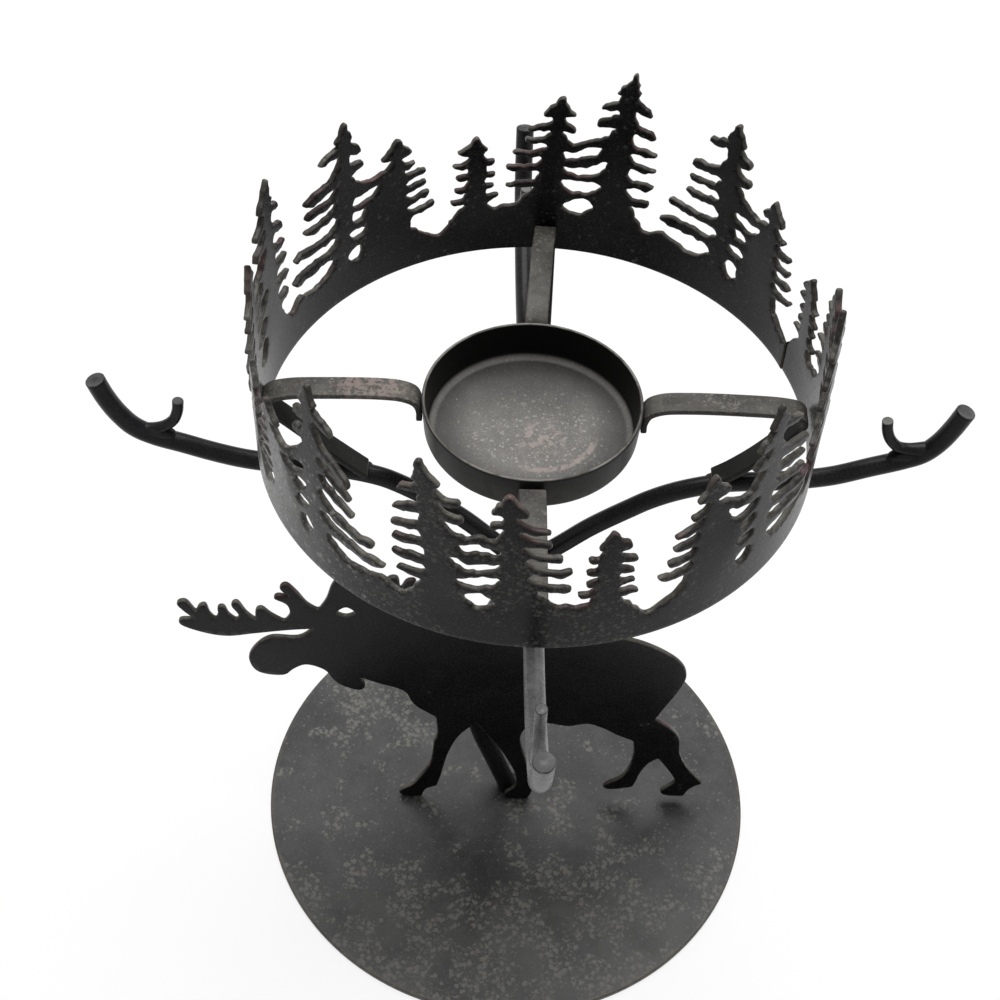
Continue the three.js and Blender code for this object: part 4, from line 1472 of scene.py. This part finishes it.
@dataclass
class Studio:
    """The pale floor, the soft light and the camera."""

    floor_size: float = 4.0
    floor_white: float = 0.8
    ambient: float = 0.2
    camera_place: Sequence[float] = (-14.878, -228.780, 372.412)
    pitch: float = 48.756
    yaw: float = 2.275
    roll: float = 2.919
    lens: float = 62.225

    def floor(self) -> None:
        """Lays the floor, which looks white and keeps the shadow."""
        half = self.floor_size / 2
        corners = [(-half, -half, 0), (half, -half, 0), (half, half, 0), (-half, half, 0)]
        mesh = bpy.data.meshes.new("floor")
        mesh.from_pydata(corners, [], [(0, 1, 2, 3)])
        floor = bpy.data.objects.new("floor", mesh)
        bpy.context.scene.collection.objects.link(floor)
        paper = bpy.data.materials.new("floor_paper")
        shader = Shader(paper)
        matt = shader.node("ShaderNodeBsdfDiffuse", None, {"Color": (0.9, 0.9, 0.9, 1)})
        white = shader.node("ShaderNodeEmission", None, {"Color": (1, 1, 1, 1), "Strength": 1.0})
        share = shader.seen_directly() * self.floor_white
        shader.finish(shader.node("ShaderNodeMixShader", None, {0: share, 1: matt, 2: white}))
        mesh.materials.append(paper)

    def world(self) -> None:
        """Surrounds the scene with white for the camera and dimmer light for the object."""
        world = bpy.data.worlds.new("studio")
        bpy.context.scene.world = world
        shader = Shader(world)
        strength = self.ambient + (1 - self.ambient) * shader.seen_directly()
        sky = shader.node("ShaderNodeBackground", None, {"Strength": strength})
        shader.node("ShaderNodeOutputWorld", None, {"Surface": sky})

    @staticmethod
    def lamp(name: str, place: Sequence[float], target: Sequence[float], size: float, power: float) -> None:
        """Hangs one soft square lamp.

        Args:
            name: The lamp's name.
            place: Where it hangs, in metres.
            target: The point that it faces.
            size: Its side, in metres.
            power: Its power, in watts.
        """
        light = bpy.data.lights.new(name, "AREA")
        light.size = size
        light.energy = power
        lamp = bpy.data.objects.new(name, light)
        lamp.location = place
        lamp.rotation_euler = (Vector(target) - Vector(place)).to_track_quat("-Z", "Y").to_euler()
        bpy.context.scene.collection.objects.link(lamp)

    def lamps(self) -> None:
        """Hangs the lamps: a broad one above and a little behind, and a weak one at each side."""
        middle = (0.0, 0.0, 0.1)
        self.lamp("above", (0.05, 0.25, 0.95), middle, size=0.8, power=12.0)
        self.lamp("right", (0.9, 0.1, 0.45), middle, size=0.5, power=1.2)
        self.lamp("left", (-0.9, 0.0, 0.5), middle, size=0.5, power=1.0)

    def camera(self) -> None:
        """Puts the camera where the photograph was taken from."""
        pitch, yaw, roll = (math.radians(angle) for angle in (self.pitch, self.yaw, self.roll))
        ahead = Vector((math.sin(yaw) * math.cos(pitch), math.cos(yaw) * math.cos(pitch), -math.sin(pitch)))
        level = Vector((math.cos(yaw), -math.sin(yaw), 0.0))
        above = level.cross(ahead)
        right = level * math.cos(roll) + above * math.sin(roll)
        up = above * math.cos(roll) - level * math.sin(roll)
        data = bpy.data.cameras.new("camera")
        data.sensor_width = 36.0
        data.lens = self.lens
        data.clip_start = 0.01
        camera = bpy.data.objects.new("camera", data)
        turn = Matrix((right, up, -ahead)).transposed().to_4x4()
        camera.matrix_world = Matrix.Translation(Vector(self.camera_place) * MM) @ turn
        bpy.context.scene.collection.objects.link(camera)
        bpy.context.scene.camera = camera

    def build(self) -> None:
        """Sets up the studio."""
        bpy.context.scene.view_settings.view_transform = "Standard"
        self.camera()
        self.floor()
        self.world()
        self.lamps()


def main() -> None:
    """Builds the holder piece by piece."""
    logging.basicConfig(level=logging.INFO, format="%(message)s")
    Studio().build()
    finishes = Finishes()
    Base().build(finishes)
    Moose().build(finishes)
    Trunk().build(finishes)
    for branch in BRANCHES:
        branch.build(finishes)
    Cup().build(finishes)
    TreeRing().build(finishes)


if __name__ == "__main__":
    main()
